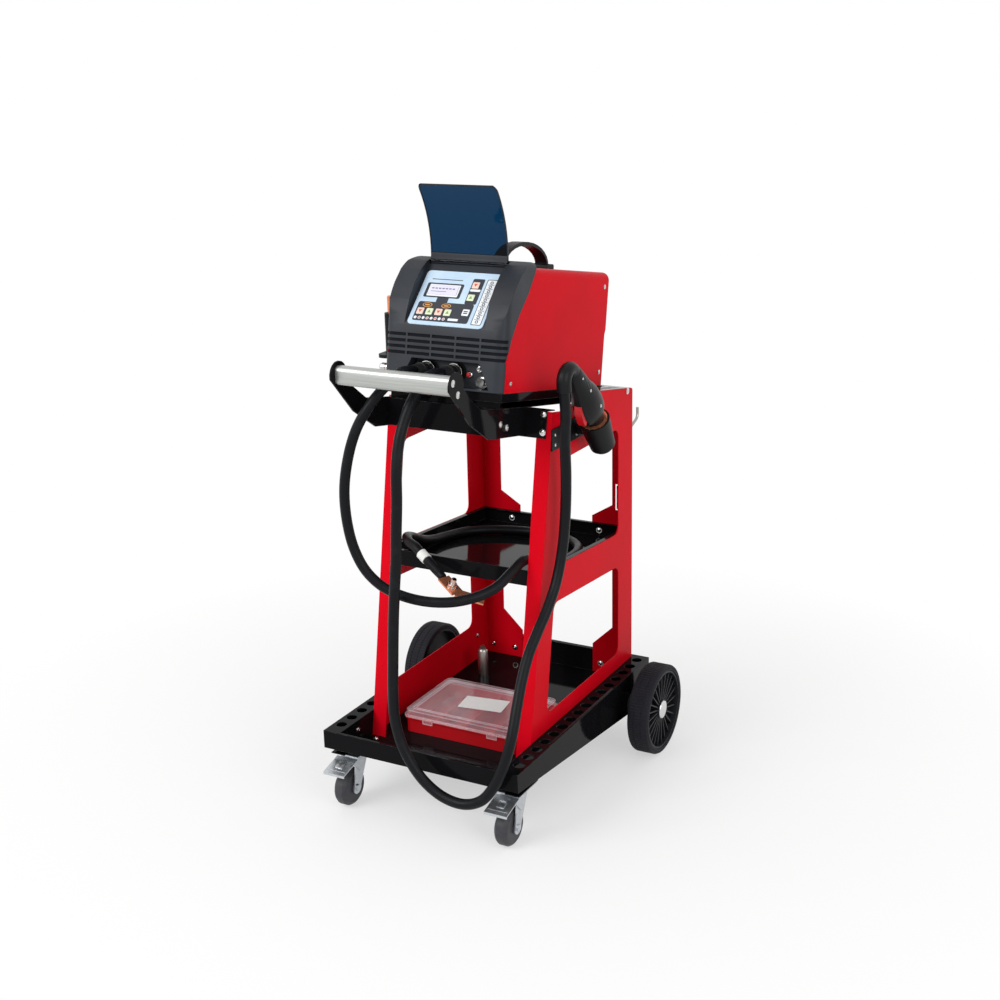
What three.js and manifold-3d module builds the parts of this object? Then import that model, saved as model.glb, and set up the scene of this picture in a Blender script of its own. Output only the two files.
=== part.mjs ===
// Dent pulling spot welder on its trolley: the welder, its gun and clamp, and the cart that carries them.
// Millimetres, +Z up. The cart's front is at -Y, its right side at +X, and the wheels stand on height 0.
import * as THREE from 'three';
import { mergeVertices } from 'three/addons/utils/BufferGeometryUtils.js';
import Module from 'manifold-3d';

const wasm = await Module();
wasm.setup();

const degree = Math.PI / 180;
const clearance = 0.3;        // gap left between pieces that rest on each other or sit in each other
const overrun = 6;            // how far a cutting solid runs past what it cuts
const sheet = 2;              // sheet steel of the cart
const roundSides = 24;        // sides of a plain round piece

// Driving sizes of the cart
const wheel = { radius: 93, width: 45, outset: 112, rearReach: 85, axleRadius: 6, tyreDepth: 12, spokes: 24,
  spokeWidth: 2.4, spokeDepth: 12, webWidth: 8, rimWall: 3.4, hubRadius: 20, capRadius: 18.5,
  capHeight: 4.6, recess: 5, hubReach: 35.7, faceRound: 5 };
const tray = { ledge: 36, frontY: -317, rearLedge: 10, rimZ: 159, frontSkirt: 36, rearSkirt: 98,
  frontRim: 5, axleGap: 7.3,
  floorSlopeRun: 30, holeRadius: 11, holeCount: 16, holeInset: 17, firstHole: 37, lastHole: 25.6,
  wingReach: 30, wingFront: 14, wingLength: 76 };
const panel = { halfWidth: 175, footY: -195.5, frontFlange: 30, rearFlange: 44, footWidth: 90,
  gussetRise: 28, gussetFall: 14, columnTop: 60, rearColumn: 68, cornerRadius: 18, rackLift: 29.9,
  rearFold: 3.1,
  railDrop: 70, lowWindowZ: 192, windowTopShare: 0.8183, riseStart: 38, riseEnd: 143, slotHeight: 56,
  slotReach: 7, slotWidth: 3, slotShare: 0.5827 };
const shelf = { heightShare: 0.5827, tilt: 4.5 * degree, lip: 30, frontGap: 1.2, lipTurn: 9 };
const caster = { outset: 1, frontReach: 53, wheelRadius: 37.5, wheelWidth: 28, trail: 27, plateWidth: 56,
  plateLength: 68,
  plateThickness: 3, raceRadius: 22, raceHeight: 8, discThickness: 4, pinRadius: 5, pinHeadRadius: 9,
  pinHeadHeight: 4, forkGap: 3, forkSheet: 2.5, boltRadius: 4, boltHead: 3.2, cheekRadius: 13,
  pedalSheet: 2, pedalWidth: 47, pedalReach: 62, pedalRise: 13, pedalDrop: 5, pedalPivotZ: 74,
  pedalPivotY: -278, pedalBossRadius: 6, pedalTopZ: 98 };
const hook = { inset: 17, heightShare: 0.777, reach: 64, wireRadius: 3, rise: 26, tipRise: 20, plateWidth: 18,
  plateHeight: 34, plateThickness: 3 };

// Driving sizes of the tilted deck and of what stands on it. Its frame has x across, v to the rear and
// w square to the deck; v = 0 is the welder's front face and w = 0 the underside of its covers.
const deck = { tilt: 9.8 * degree, height: 823.7, postV: 106.6, floorW: -28, floorInset: 7.3, frontV: 10,
  apron: 50, rearLip: 12 };
const beam = { inset: 10, height: 52, returnDepth: 30 };
const rack = { length: 199, rearGap: 35, innerX: 129, topW: -2, innerDrop: 18, rearDrop: 42, rearStrip: 28,
  slotLength: 26, slotWidth: 9, slotPitch: 20, slotCount: 8, rearHoles: 6, rearHoleRadius: 6 };
const bar = { v: -152.5, w: 18.6, depth: 24, height: 34, cornerRadius: 9 };
const bracket = { thickness: 3, lobeRadius: 25, bend1V: -100, bend1W: -48, bend2V: -26, skirtW: -80,
  top1V: -104, top1W: -4, top2V: -62, top2W: -25 };

const welder = { halfWidth: 124, length: 426, height: 223, cornerRadius: 16, coverSheet: 1.5, panHeight: 16,
  panWall: 2.5, footRadius: 12, footInset: 34 };
const bezel = { halfWidth: 125.5, depth: 112, height: 233, wall: 3.5, edgeRadius: 20, topRadius: 16,
  plateHalf: 78, plateFootW: 110, plateTopV: 69, plateTopW: 207, pocketHalf: 82.5, pocketPad: 5,
  plateThickness: 1.2, plateCorner: 8,
  hingeV: 80, hingeW: 226, bayHalf: 92, bayCentreX: 6, bayHeight: 50, bayDepth: 26, baySlope: 22,
  grooveHeight: 5.6, groovePitch: 11, grooveTopW: 91, grooveDepth: 2.4, grooveWrap: 16, grooveRows: 4,
  grooveColumns: 5, barWidth: 3.4 };
const lid = { halfWidth: 80.5, thickness: 2.2, tipV: 16, tipW: 360, sagitta: 13, cornerRadius: 12,
  barrelRadius: 4.6, pinRadius: 1.8, steps: 12, rimDepth: 4 };
const handle = { centreV: 284, reach: 92, rise: 44, strapWidth: 26, strapThickness: 7, footLength: 30,
  footHeight: 10, footWidth: 32 };
const socket = { radius: 17, boreRadius: 11.6, depth: 12, w: 29, leftX: -39, rightX: 18, flangeRadius: 19,
  flangeDepth: 3 };
const plug = { bodyRadius: 14.6, bodyLength: 25, tipRadius: 10.6, tipLength: 10, bootRadius: 12.4,
  bootLength: 19 };
const earthCable = { radius: 9.5 };
const gunCable = { radius: 10 };
const control = { x: 74, w: 16, radius: 8.5, length: 16, nutRadius: 11 };
const key = { sizeShare: 0.17, places: [[-0.764, 0.24], [-0.52, 0.24], [-0.274, 0.24], [-0.036, 0.24],
  [0.415, 0.768], [0.41, 0.539], [0.433, 0.265]] };  // centres, as shares of the plate's half width and length
const windowPane = { halfWidth: 29, height: 20, centreX: -29, alongShare: 0.64, thickness: 1.4 };
const core = { x: 62, length: 130, height: 104, centreX: -22, centreV: 250, window: 24, leg: 36,
  windingReach: 14 };
const board = { x: 88, frontV: 70, length: 120, height: 140, thickness: 1.6, blockLength: 24, blockDepth: 16,
  blockHeight: 30, blocks: 3 };
const fan = { radius: 44, hubRadius: 15, depth: 16, blades: 7, bladeSheet: 2, shaftRadius: 2.5, bossRadius: 9,
  bossLength: 14, x: -30, w: 112, holeRadius: 47, barWidth: 5 };
const rocker = { x: 82, w: 58, width: 20, height: 28, depth: 11, frame: 3, bodyDepth: 18,
  tilt: 10 * degree };
const gland = { x: 84, w: 22, nutRadius: 11, nutLength: 9, noseRadius: 8.5, noseLength: 12, boreRadius: 5 };
const holder = { outset: 18, v: 57, w: 52.6, height: 74, radius: 11, boreRadius: 6.6, plateThickness: 6,
  plateLength: 52, plateWidth: 30, tongueWidth: 20, rodRadius: 5, rodOverTop: 32 };

// Driving sizes of what the cart stores
const box = { widthShare: 1.497, depth: 184, baseHeight: 32, lidHeight: 13, frontY: -164, wall: 2.4,
  cornerRadius: 12,
  rimReach: 5, rimHeight: 4, dividers: 3, latchWidth: 22, hingeRadius: 2.6, hingeLug: 30 };
const weight = { wallGap: 53, rearGap: 116, radius: 11, height: 64, neckRadius: 6, neckHeight: 7,
  boreRadius: 3 };
const gun = { outset: 38, headV: 188.8, headW: -30, handleTilt: 40 * degree, noseTilt: 33 * degree,
  handleLength: 116,
  buttRadius: 18, gripRadius: 26, headRadius: 36, flattenShare: 0.72, noseLength: 62, noseRadius: 20,
  tipRadius: 7, collarRadius: 25.7, collarLength: 12, collarSeat: 22, bootRadius: 13.5, bootBend: 21,
  bootTurn: 146 * degree, triggerLength: 42, triggerWidth: 14, triggerReach: 7, triggerDepth: 14,
  triggerAlong: 50, triggerTravel: 7, triggerDrop: 3.4, slotGap: 0.5 };
const holster = { mouthRadius: 30, floorRadius: 24, wall: 3, length: 75, mouthAlong: 24, plateThickness: 2.5,
  plateFront: 90, plateRear: 46, plateTop: 20, plateFoot: 60, armHeight: 26 };
const clamp = { gripRadius: 9.6, sleeveRadius: 10.8, sleeveLength: 20, gripLength: 54, plateWidth: 26,
  plateThickness: 3.5, lugLength: 46, tailLength: 52, boltRadius: 5, boltHeight: 20, nutRadius: 8.5,
  nutHeight: 7, tailTurn: 44 * degree };

// Solids
function toSolid(geometry) {
  const bare = geometry.clone();
  bare.deleteAttribute('normal');
  bare.deleteAttribute('uv');
  const merged = mergeVertices(bare, 1e-4);
  const corners = Float32Array.from(merged.attributes.position.array);
  const triangles = Uint32Array.from(merged.index.array);
  return new wasm.Manifold(new wasm.Mesh({ numProp: 3, vertProperties: corners, triVerts: triangles }));
}

function toGeometry(solid) {
  const surface = solid.getMesh();
  const geometry = new THREE.BufferGeometry();
  geometry.setAttribute('position', new THREE.BufferAttribute(surface.vertProperties, 3));
  geometry.setIndex(new THREE.BufferAttribute(surface.triVerts, 1));
  geometry.computeVertexNormals();
  return geometry;
}

function join(solids) {
  return solids.reduce((whole, solid) => whole.add(solid));
}

function cut(solid, cutters) {
  return cutters.reduce((rest, cutter) => rest.subtract(cutter), solid);
}

function block(x0, x1, y0, y1, z0, z1) {
  const geometry = new THREE.BoxGeometry(x1 - x0, y1 - y0, z1 - z0);
  geometry.translate((x0 + x1) / 2, (y0 + y1) / 2, (z0 + z1) / 2);
  return toSolid(geometry);
}

function outline(points) {
  return new THREE.Shape(points.map(([a, b]) => new THREE.Vector2(a, b)));
}

function swept(shape, depth, basis, origin) {
  const geometry = new THREE.ExtrudeGeometry(shape, { depth, bevelEnabled: false, curveSegments: 6 });
  const [a, b, c] = basis.map((axis) => new THREE.Vector3(...axis));
  geometry.applyMatrix4(new THREE.Matrix4().makeBasis(a, b, c).setPosition(...origin));
  return toSolid(geometry);
}

// An outline given as [y, z] points, carried along x.
function alongX(points, x0, x1) {
  const shape = points instanceof THREE.Shape ? points : outline(points);
  return swept(shape, Math.abs(x1 - x0), [[0, 1, 0], [0, 0, 1], [1, 0, 0]], [Math.min(x0, x1), 0, 0]);
}

// An outline given as [x, z] points, carried along y.
function alongY(points, y0, y1) {
  const shape = points instanceof THREE.Shape ? points : outline(points);
  return swept(shape, y1 - y0, [[1, 0, 0], [0, 0, 1], [0, -1, 0]], [0, y1, 0]);
}

// An outline given as [x, y] points, carried along z.
function alongZ(points, z0, z1) {
  const shape = points instanceof THREE.Shape ? points : outline(points);
  return swept(shape, z1 - z0, [[1, 0, 0], [0, 1, 0], [0, 0, 1]], [0, 0, z0]);
}

// The same polygon with each corner rounded to its radius, or to one radius.
function rounded(points, radius, steps = 4) {
  const result = [];
  points.forEach((corner, index) => {
    const here = new THREE.Vector2(...corner);
    const before = new THREE.Vector2(...points[(index + points.length - 1) % points.length]).sub(here);
    const after = new THREE.Vector2(...points[(index + 1) % points.length]).sub(here);
    const size = Array.isArray(radius) ? radius[index] : radius;
    const half = Math.acos(before.dot(after) / before.length() / after.length()) / 2;
    const reach = size / Math.tan(half);
    if (size === 0 || Math.abs(half - Math.PI / 2) < 1e-3) {
      result.push([here.x, here.y]);
      return;
    }
    const start = before.clone().normalize().multiplyScalar(reach);
    const end = after.clone().normalize().multiplyScalar(reach);
    const middle = start.clone().add(end).normalize().multiplyScalar(size / Math.sin(half));
    for (let step = 0; step <= steps; step += 1) {
      const spoke0 = start.clone().sub(middle);
      const spoke1 = end.clone().sub(middle);
      const turn = Math.atan2(spoke0.cross(spoke1), spoke0.dot(spoke1)) * (step / steps);
      const spoke = spoke0.rotateAround(new THREE.Vector2(), turn);
      result.push([here.x + middle.x + spoke.x, here.y + middle.y + spoke.y]);
    }
  });
  return result;
}

function circle(a, b, radius, sides = roundSides) {
  const turn = (2 * Math.PI) / sides;
  return Array.from({ length: sides }, (_, i) => [a + radius * Math.cos(i * turn),
    b + radius * Math.sin(i * turn)]);
}

// A solid of revolution about x through (y, z); the profile is [x, radius] points from axis to axis.
function turnedX(profile, y, z, sides = roundSides) {
  const geometry = new THREE.LatheGeometry(profile.map(([x, r]) => new THREE.Vector2(r, x)), sides);
  geometry.rotateZ(-Math.PI / 2);
  geometry.translate(0, y, z);
  return toSolid(geometry);
}

// A solid of revolution about y through (x, z); the profile is [y, radius] points from axis to axis.
function turnedY(profile, x, z, sides = roundSides) {
  const geometry = new THREE.LatheGeometry(profile.map(([y, r]) => new THREE.Vector2(r, y)), sides);
  geometry.translate(x, 0, z);
  return toSolid(geometry);
}

// A solid of revolution about z through (x, y); the profile is [z, radius] points from axis to axis.
function turnedZ(profile, x, y, sides = roundSides) {
  const geometry = new THREE.LatheGeometry(profile.map(([z, r]) => new THREE.Vector2(r, z)), sides);
  geometry.rotateX(Math.PI / 2);
  geometry.translate(x, y, 0);
  return toSolid(geometry);
}

function rod(start, end, radius) {
  return [[start, 0], [start, radius], [end, radius], [end, 0]];
}

function moved(solid, matrix) {
  return toSolid(toGeometry(solid).applyMatrix4(matrix));
}

// A round tube along a curve through the points.
function tube(points, radius, steps, sides = 10, tension = 0.5) {
  const path = new THREE.CatmullRomCurve3(points.map((p) => new THREE.Vector3(...p)), false,
    'centripetal', tension);
  const shape = outline(circle(0, 0, radius, sides));
  return toSolid(new THREE.ExtrudeGeometry(shape, { steps, extrudePath: path, bevelEnabled: false }));
}

// Scene
const cart = new THREE.Group();
const welderGroup = new THREE.Group();
const whole = new THREE.Group();
cart.add(welderGroup);
whole.add(cart);

function place(group, name, solid, color, roughness, metalness, extra = {}) {
  const material = new THREE.MeshStandardMaterial({ color, roughness, metalness, ...extra });
  const mesh = new THREE.Mesh(toGeometry(solid), material);
  mesh.name = name;
  group.add(mesh);
  return mesh;
}

const paint = { red: 0xb5121b, black: 0x0d0e10, darkPlastic: 0x23262c, zinc: 0xb9bcc0, tyre: 0x191a1d,
  aluminium: 0xc9c9c4, steel: 0x9a9c9f, copper: 0xb06a43, rubber: 0x1b1c20, smoked: 0x16365c,
  clear: 0xd9c3cb, plate: 0xc3d3e2, winding: 0x8a4b25, green: 0x1d5a35, white: 0xe8e8e6, trigger: 0xa01418 };

// Places that several pieces share
const tiltRun = Math.cos(deck.tilt);
const tiltRise = Math.sin(deck.tilt);
const postRun = deck.postV - (deck.height - tray.rimZ) * tiltRise;
const deckOrigin = [0, panel.footY - postRun / tiltRun, deck.height];
const trayHalf = panel.halfWidth + tray.ledge;
const floorHalf = welder.halfWidth - deck.floorInset;
const rackRearV = welder.length + rack.rearGap;
const rackFrontV = rackRearV - rack.length;

function fromDeck(v, w) {
  return [deckOrigin[1] + v * tiltRun + w * tiltRise, deckOrigin[2] - v * tiltRise + w * tiltRun];
}

const panelRearY = fromDeck(rackRearV + panel.rearFold, rack.topW)[0];
const trayRearY = panelRearY + tray.rearLedge;
const axleY = panelRearY - wheel.rearReach;
const wheelOuterX = panel.halfWidth + wheel.outset;
const casterX = panel.halfWidth + caster.outset;
const casterY = tray.frontY + caster.frontReach;
const shelfFrontZ = shelf.heightShare * deck.height;
const windowTopZ = panel.windowTopShare * deck.height;
const hookX = panel.halfWidth - hook.inset;
const hookZ = hook.heightShare * deck.height;
const boxWidth = box.widthShare * panel.halfWidth;
const gunX = panel.halfWidth + gun.outset;
const beamHalf = panel.halfWidth - beam.inset;
const weightX = weight.wallGap - panel.halfWidth;
const weightY = panelRearY - weight.rearGap;
const holderX = -welder.halfWidth - holder.outset;
const [holderY, holderZ] = fromDeck(holder.v, holder.w);
const [barY, barZ] = fromDeck(bar.v, bar.w);
const floorUnder = wheel.radius + wheel.axleRadius + tray.axleGap;
const floorTop = floorUnder + sheet;
const tubHalf = panel.halfWidth + clearance;
const tubRear = panelRearY + clearance;

// The y of the posts' front face at height z.
function postY(z) {
  return panel.footY + (z - tray.rimZ) * Math.tan(deck.tilt);
}

// The height of the shelf's lip at y.
function shelfLineZ(y) {
  return shelfFrontZ - (y - postY(shelfFrontZ)) * Math.tan(shelf.tilt);
}

// Base tray: a tub between the side panels, a ledge of tool holes on each side, and skirts round it.
function makeBaseTray() {
  const half = trayHalf;
  const rimUnder = tray.rimZ - sheet;
  const ledge = outline(rounded([[-half, tray.frontY], [half, tray.frontY], [half, trayRearY],
    [-half, trayRearY]], sheet));
  const holePitch = (trayRearY - tray.frontY - tray.firstHole - tray.lastHole) / (tray.holeCount - 1);
  for (const side of [-1, 1]) {
    for (let hole = 0; hole < tray.holeCount; hole += 1) {
      const y = tray.frontY + tray.firstHole + hole * holePitch;
      const x = side * (half - tray.holeInset);
      ledge.holes.push(outline(circle(x, y, tray.holeRadius, 16)));
    }
  }
  const tubFront = tray.frontY + tray.frontRim;
  const tubProfile = [[tubFront, tray.rimZ], [tubFront + tray.floorSlopeRun, floorTop], [tubRear, floorTop],
    [tubRear, tray.rimZ + overrun], [tubFront, tray.rimZ + overrun]];
  const tubOuter = [[tubFront - sheet, tray.rimZ], [tubFront - sheet + tray.floorSlopeRun, floorUnder],
    [tubRear + sheet, floorUnder], [tubRear + sheet, tray.rimZ]];
  const skirtSide = [[tray.frontY, tray.rimZ - tray.frontSkirt], [trayRearY, tray.rimZ - tray.rearSkirt],
    [trayRearY, tray.rimZ], [tray.frontY, tray.rimZ]];
  const inner = block(-half + sheet, half - sheet, tray.frontY + sheet, trayRearY - sheet,
    -overrun, tray.rimZ + overrun);
  const skirts = cut(alongX(skirtSide, -half, half), [inner]);
  const wings = block(-tubHalf - tray.wingReach, tubHalf + tray.wingReach,
    tray.frontY + tray.wingFront, tray.frontY + tray.wingFront + tray.wingLength, floorUnder, floorTop);
  const body = join([alongZ(ledge, rimUnder, tray.rimZ), alongX(tubOuter, -tubHalf - sheet, tubHalf + sheet),
    skirts, cut(wings, [block(-tubHalf, tubHalf, tray.frontY, 0, 0, tray.rimZ)])]);
  const axleHole = turnedX(rod(-half - overrun, half + overrun, wheel.axleRadius + clearance), axleY,
    wheel.radius);
  const skirtsOnly = cut(axleHole, [block(-half + 2 * sheet, half - 2 * sheet, tray.frontY, trayRearY, 0,
    tray.rimZ)]);
  return cut(body, [alongX(tubProfile, -tubHalf, tubHalf), skirtsOnly]);
}

// Side panels: folded sheet with a leaning front post, a rear flange with gussets, and two windows.
const deckTop = deck.floorW - 2 * sheet - 2 * clearance;
const panelFoot = floorTop + clearance;

function sidePanelOutline() {
  const rackLine = rack.topW - clearance;
  const rearTopV = (panelRearY - deckOrigin[1] - rackLine * tiltRise) / tiltRun;
  const top = [fromDeck(deck.postV, deckTop), fromDeck(deck.postV + panel.riseStart, deckTop),
    fromDeck(deck.postV + panel.riseEnd, rackLine), fromDeck(rearTopV, rackLine)];
  return [[postY(panelFoot), panelFoot], ...top, [panelRearY, panelFoot]];
}

function sidePanel(side) {
  const shape = outline(rounded(sidePanelOutline(), [0, 0, 0, 0, sheet * 3, 0]));
  const rearColumn = panelRearY - panel.rearColumn;
  const highFrontTop = postY(windowTopZ) + panel.columnTop;
  const shelfZ = shelfLineZ(postY(shelfFrontZ) + panel.columnTop);
  const railZ = shelfZ - panel.railDrop;
  const lowFront = postY(panel.lowWindowZ) + panel.columnTop;
  const upper = [[highFrontTop, windowTopZ], [postY(shelfZ) + panel.columnTop, shelfZ],
    [rearColumn, shelfLineZ(rearColumn)], [rearColumn, windowTopZ]];
  const lower = [[postY(railZ) + panel.columnTop, railZ], [lowFront, panel.lowWindowZ],
    [rearColumn, panel.lowWindowZ], [rearColumn, shelfLineZ(rearColumn) - panel.railDrop]];
  shape.holes.push(outline(rounded(upper, panel.cornerRadius)), outline(rounded(lower, panel.cornerRadius)));
  const outer = side * panel.halfWidth;
  const skin = alongX(shape, outer, outer - side * sheet);
  const [topY, topZ] = fromDeck(deck.postV, deckTop);
  const foldDepth = sheet / tiltRun;
  const post = alongX([[postY(panelFoot), panelFoot], [topY, topZ], fromDeck(deck.postV + sheet, deckTop),
    [postY(panelFoot) + foldDepth, panelFoot]], outer, outer - side * panel.frontFlange);
  const flangeTop = fromDeck(rackRearV, rack.topW - clearance)[1] - panel.rackLift;
  const rail = shelfLineZ(panelRearY) - shelf.lip;
  const innerX = panel.halfWidth - panel.rearFlange;
  const toeX = panel.halfWidth - panel.footWidth;
  const flange = [[panel.halfWidth, panelFoot], [toeX, panelFoot], [toeX, tray.rimZ + panel.gussetFall],
    [innerX, tray.rimZ + panel.gussetFall + panel.rearFlange], [innerX, rail], [toeX, rail],
    [toeX, rail + shelf.lip + panel.gussetFall], [innerX,
    rail + shelf.lip + panel.gussetFall + panel.gussetRise],
    [innerX, flangeTop], [panel.halfWidth, flangeTop]].map(([x, z]) => [side * x, z]);
  const rear = alongY(flange, panelRearY - sheet, panelRearY);
  const body = join([skin, post, rear]);
  if (side < 0) {
    return body;
  }
  const slotX = innerX + panel.slotReach;
  const slotZ = panel.slotShare * deck.height;
  const arms = [slotZ, slotZ + panel.slotHeight - panel.slotWidth];
  const slot = join([
    block(slotX, slotX + panel.slotWidth, panelRearY - overrun, panelRearY + overrun, slotZ,
      slotZ + panel.slotHeight),
    ...arms.map((z) => block(slotX, slotX + panel.slotReach, panelRearY - overrun, panelRearY + overrun, z,
      z + panel.slotWidth))]);
  return cut(body, [slot]);
}

// Middle shelf: an open tray between the panels that falls to the rear.
function makeShelf() {
  const half = panel.halfWidth - sheet - clearance;
  const frontY = postY(shelfFrontZ) + sheet / tiltRun + shelf.frontGap;
  const length = (panelRearY - sheet - clearance - frontY) / Math.cos(shelf.tilt);
  const tub = cut(block(-half, half, 0, length, -shelf.lip, 0),
    [block(-half + sheet, half - sheet, sheet, length - sheet, sheet - shelf.lip, overrun)]);
  const bars = block(-half + shelf.lipTurn, half - shelf.lipTurn, shelf.lipTurn, length - shelf.lipTurn,
    -overrun, overrun);
  const rim = cut(block(-half, half, 0, length, -sheet, 0), [bars]);
  const turn = new THREE.Matrix4().makeRotationX(-shelf.tilt).setPosition(0, frontY, shelfFrontZ);
  return moved(join([tub, rim]), turn);
}

// Deck pieces, in the deck's own frame of x, v and w.
function makeBeam() {
  const front = deck.postV - clearance;
  const top = deck.floorW - sheet - clearance;
  return join([block(-beamHalf, beamHalf, front - sheet, front, top - beam.height, top),
    block(-beamHalf, beamHalf, front - sheet, front + beam.returnDepth, top - sheet, top)]);
}

function makeWelderTray() {
  const rear = rackRearV - sheet - clearance;
  const under = deck.floorW - sheet;
  const floor = block(-floorHalf, floorHalf, deck.frontV, rear, under, deck.floorW);
  const apron = block(-floorHalf, floorHalf, deck.frontV, deck.frontV + sheet,
    deck.floorW - deck.apron, deck.floorW);
  const sides = [-1, 1].map((side) => {
    const outer = side * floorHalf;
    const inner = outer - side * sheet;
    return block(Math.min(inner, outer), Math.max(inner, outer), deck.frontV,
      deck.postV - 2 * sheet - clearance,
      deck.floorW - deck.apron, deck.floorW);
  });
  return join([floor, apron, ...sides]);
}

function makeRack() {
  const half = panel.halfWidth - sheet - clearance;
  const under = rack.topW - sheet;
  const plate = outline([[-half, rackFrontV], [-rack.innerX, rackFrontV],
    [-rack.innerX, rackRearV - rack.rearStrip], [rack.innerX, rackRearV - rack.rearStrip],
    [rack.innerX, rackFrontV], [half, rackFrontV], [half, rackRearV], [-half, rackRearV]]);
  const middle = (half + rack.innerX + sheet) / 2;
  for (const side of [-1, 1]) {
    for (let slot = 0; slot < rack.slotCount; slot += 1) {
      const v = rackFrontV + rack.slotPitch * (slot + 1);
      const a = side * middle - rack.slotLength / 2;
      const low = v - rack.slotWidth / 2;
      plate.holes.push(outline(rounded([[a, low], [a + rack.slotLength, low],
        [a + rack.slotLength, low + rack.slotWidth], [a, low + rack.slotWidth]], rack.slotWidth / 2.2, 2)));
    }
  }
  for (let hole = 0; hole < rack.rearHoles; hole += 1) {
    const x = ((hole + 0.5) / rack.rearHoles * 2 - 1) * rack.innerX;
    plate.holes.push(outline(circle(x, rackRearV - rack.rearStrip / 2, rack.rearHoleRadius, 12)));
  }
  const fins = [-1, 1].map((side) => {
    const inner = side * rack.innerX;
    const outer = inner + side * sheet;
    return block(Math.min(inner, outer), Math.max(inner, outer), rackFrontV, rackRearV - rack.rearStrip,
      rack.topW - rack.innerDrop, rack.topW);
  });
  const back = block(-half, half, rackRearV - sheet, rackRearV, rack.topW - rack.rearDrop, rack.topW);
  return join([alongZ(plate, under, rack.topW), ...fins, back]);
}

function makeBracket(side) {
  const arc = [];
  for (let step = 0; step <= 10; step += 1) {
    const turn = (-10 + 21 * step) * degree;
    arc.push([bar.v + bracket.lobeRadius * Math.cos(turn), bar.w + bracket.lobeRadius * Math.sin(turn)]);
  }
  const rear = deck.postV - sheet - 2 * clearance;
  const points = [...arc, [bracket.bend1V, bracket.bend1W], [bracket.bend2V, bracket.skirtW],
    [rear, bracket.skirtW], [rear, deck.floorW], [bracket.top2V, bracket.top2W], [bracket.top1V,
    bracket.top1W]];
  const inner = side * (floorHalf + clearance);
  return alongX(points, inner, inner + side * bracket.thickness);
}

function makeBar() {
  const halfDepth = bar.depth / 2;
  const halfHeight = bar.height / 2;
  const profile = rounded([[-halfDepth, -halfHeight], [halfDepth, -halfHeight], [halfDepth, halfHeight],
    [-halfDepth, halfHeight]], bar.cornerRadius).map(([y, z]) => [barY + y, barZ + z]);
  return alongX(profile, -floorHalf, floorHalf);
}

function makeHook(side) {
  const start = panelRearY + clearance;
  const x = side * hookX;
  const wire = tube([[x, start + sheet, hookZ], [x, start + hook.reach * 0.5, hookZ + hook.rise * 0.5],
    [x, start + hook.reach - hook.wireRadius, hookZ + hook.rise - hook.wireRadius / 2],
    [x, start + hook.reach, hookZ + hook.rise + hook.wireRadius],
    [x, start + hook.reach, hookZ + hook.rise + hook.tipRise]], hook.wireRadius, 14, 10);
  const half = hook.plateWidth / 2;
  const plate = block(x - half, x + half, start, start + hook.plateThickness, hookZ - hook.plateHeight / 2,
    hookZ + hook.plateHeight / 2);
  return join([plate, wire]);
}

function makeAxle() {
  const end = wheelOuterX - wheel.recess - clearance;
  return turnedX(rod(-end, end, wheel.axleRadius), axleY, wheel.radius);
}

function makeTyre(side) {
  const outer = wheelOuterX;
  const inner = outer - wheel.width;
  const bore = wheel.radius - wheel.tyreDepth;
  const rounding = wheel.faceRound;
  const profile = [[inner + rounding / 3, bore], [inner, bore + rounding], [inner, wheel.radius - rounding],
    [inner + rounding / 3, wheel.radius - rounding / 3], [inner + rounding, wheel.radius],
    [outer - rounding, wheel.radius], [outer - rounding / 3, wheel.radius - rounding / 3],
    [outer, wheel.radius - rounding], [outer, bore + rounding], [outer - rounding / 3, bore],
    [inner + rounding / 3, bore]];
  const points = side > 0 ? profile : profile.map(([x, r]) => [-x, r]).reverse();
  return turnedX(points, axleY, wheel.radius, 48);
}

function makeRim(side) {
  const centre = wheelOuterX - wheel.width / 2;
  const rimRadius = wheel.radius - wheel.tyreDepth - clearance;
  const bore = wheel.axleRadius + clearance;
  const edge = wheel.width / 2 - wheel.faceRound / 3;
  const web = wheel.webWidth / 2;
  const hubEnd = wheel.width / 2 - wheel.recess;
  const inboard = wheel.hubReach + wheel.width / 2 - wheel.recess;
  const profile = [[-inboard, bore], [-inboard, wheel.hubRadius], [-web, wheel.hubRadius],
    [-web, rimRadius - wheel.rimWall], [-edge, rimRadius - wheel.rimWall], [-edge, rimRadius], [edge,
    rimRadius],
    [edge, rimRadius - wheel.rimWall], [web, rimRadius - wheel.rimWall], [web, wheel.hubRadius],
    [hubEnd, wheel.hubRadius], [hubEnd, bore], [-inboard, bore]];
  const core = turnedX(profile, 0, 0, 40);
  const ribs = [];
  for (let rib = 0; rib < wheel.spokes; rib += 1) {
    const arm = block(web - overrun / 6, web + wheel.spokeDepth, -wheel.spokeWidth / 2, wheel.spokeWidth / 2,
      wheel.hubRadius - sheet, rimRadius - wheel.rimWall / 2);
    ribs.push(moved(arm, new THREE.Matrix4().makeRotationX((rib / wheel.spokes) * 2 * Math.PI)));
  }
  const rim = join([core, ...ribs]);
  const turn = side > 0 ? new THREE.Matrix4() : new THREE.Matrix4().makeRotationZ(Math.PI);
  return moved(rim, turn.setPosition(side * centre, axleY, wheel.radius));
}

function makeHubCap(side) {
  const seat = wheelOuterX - wheel.recess + clearance;
  const dome = [[seat, 0], [seat, wheel.capRadius]];
  for (let step = 1; step <= 4; step += 1) {
    const turn = (step / 4) * 90 * degree;
    dome.push([seat + wheel.capHeight * (0.3 + 0.7 * Math.sin(turn)), wheel.capRadius * Math.cos(turn)]);
  }
  const points = side > 0 ? dome : dome.map(([x, r]) => [-x, r]).reverse();
  return turnedX(points, axleY, wheel.radius);
}

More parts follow.
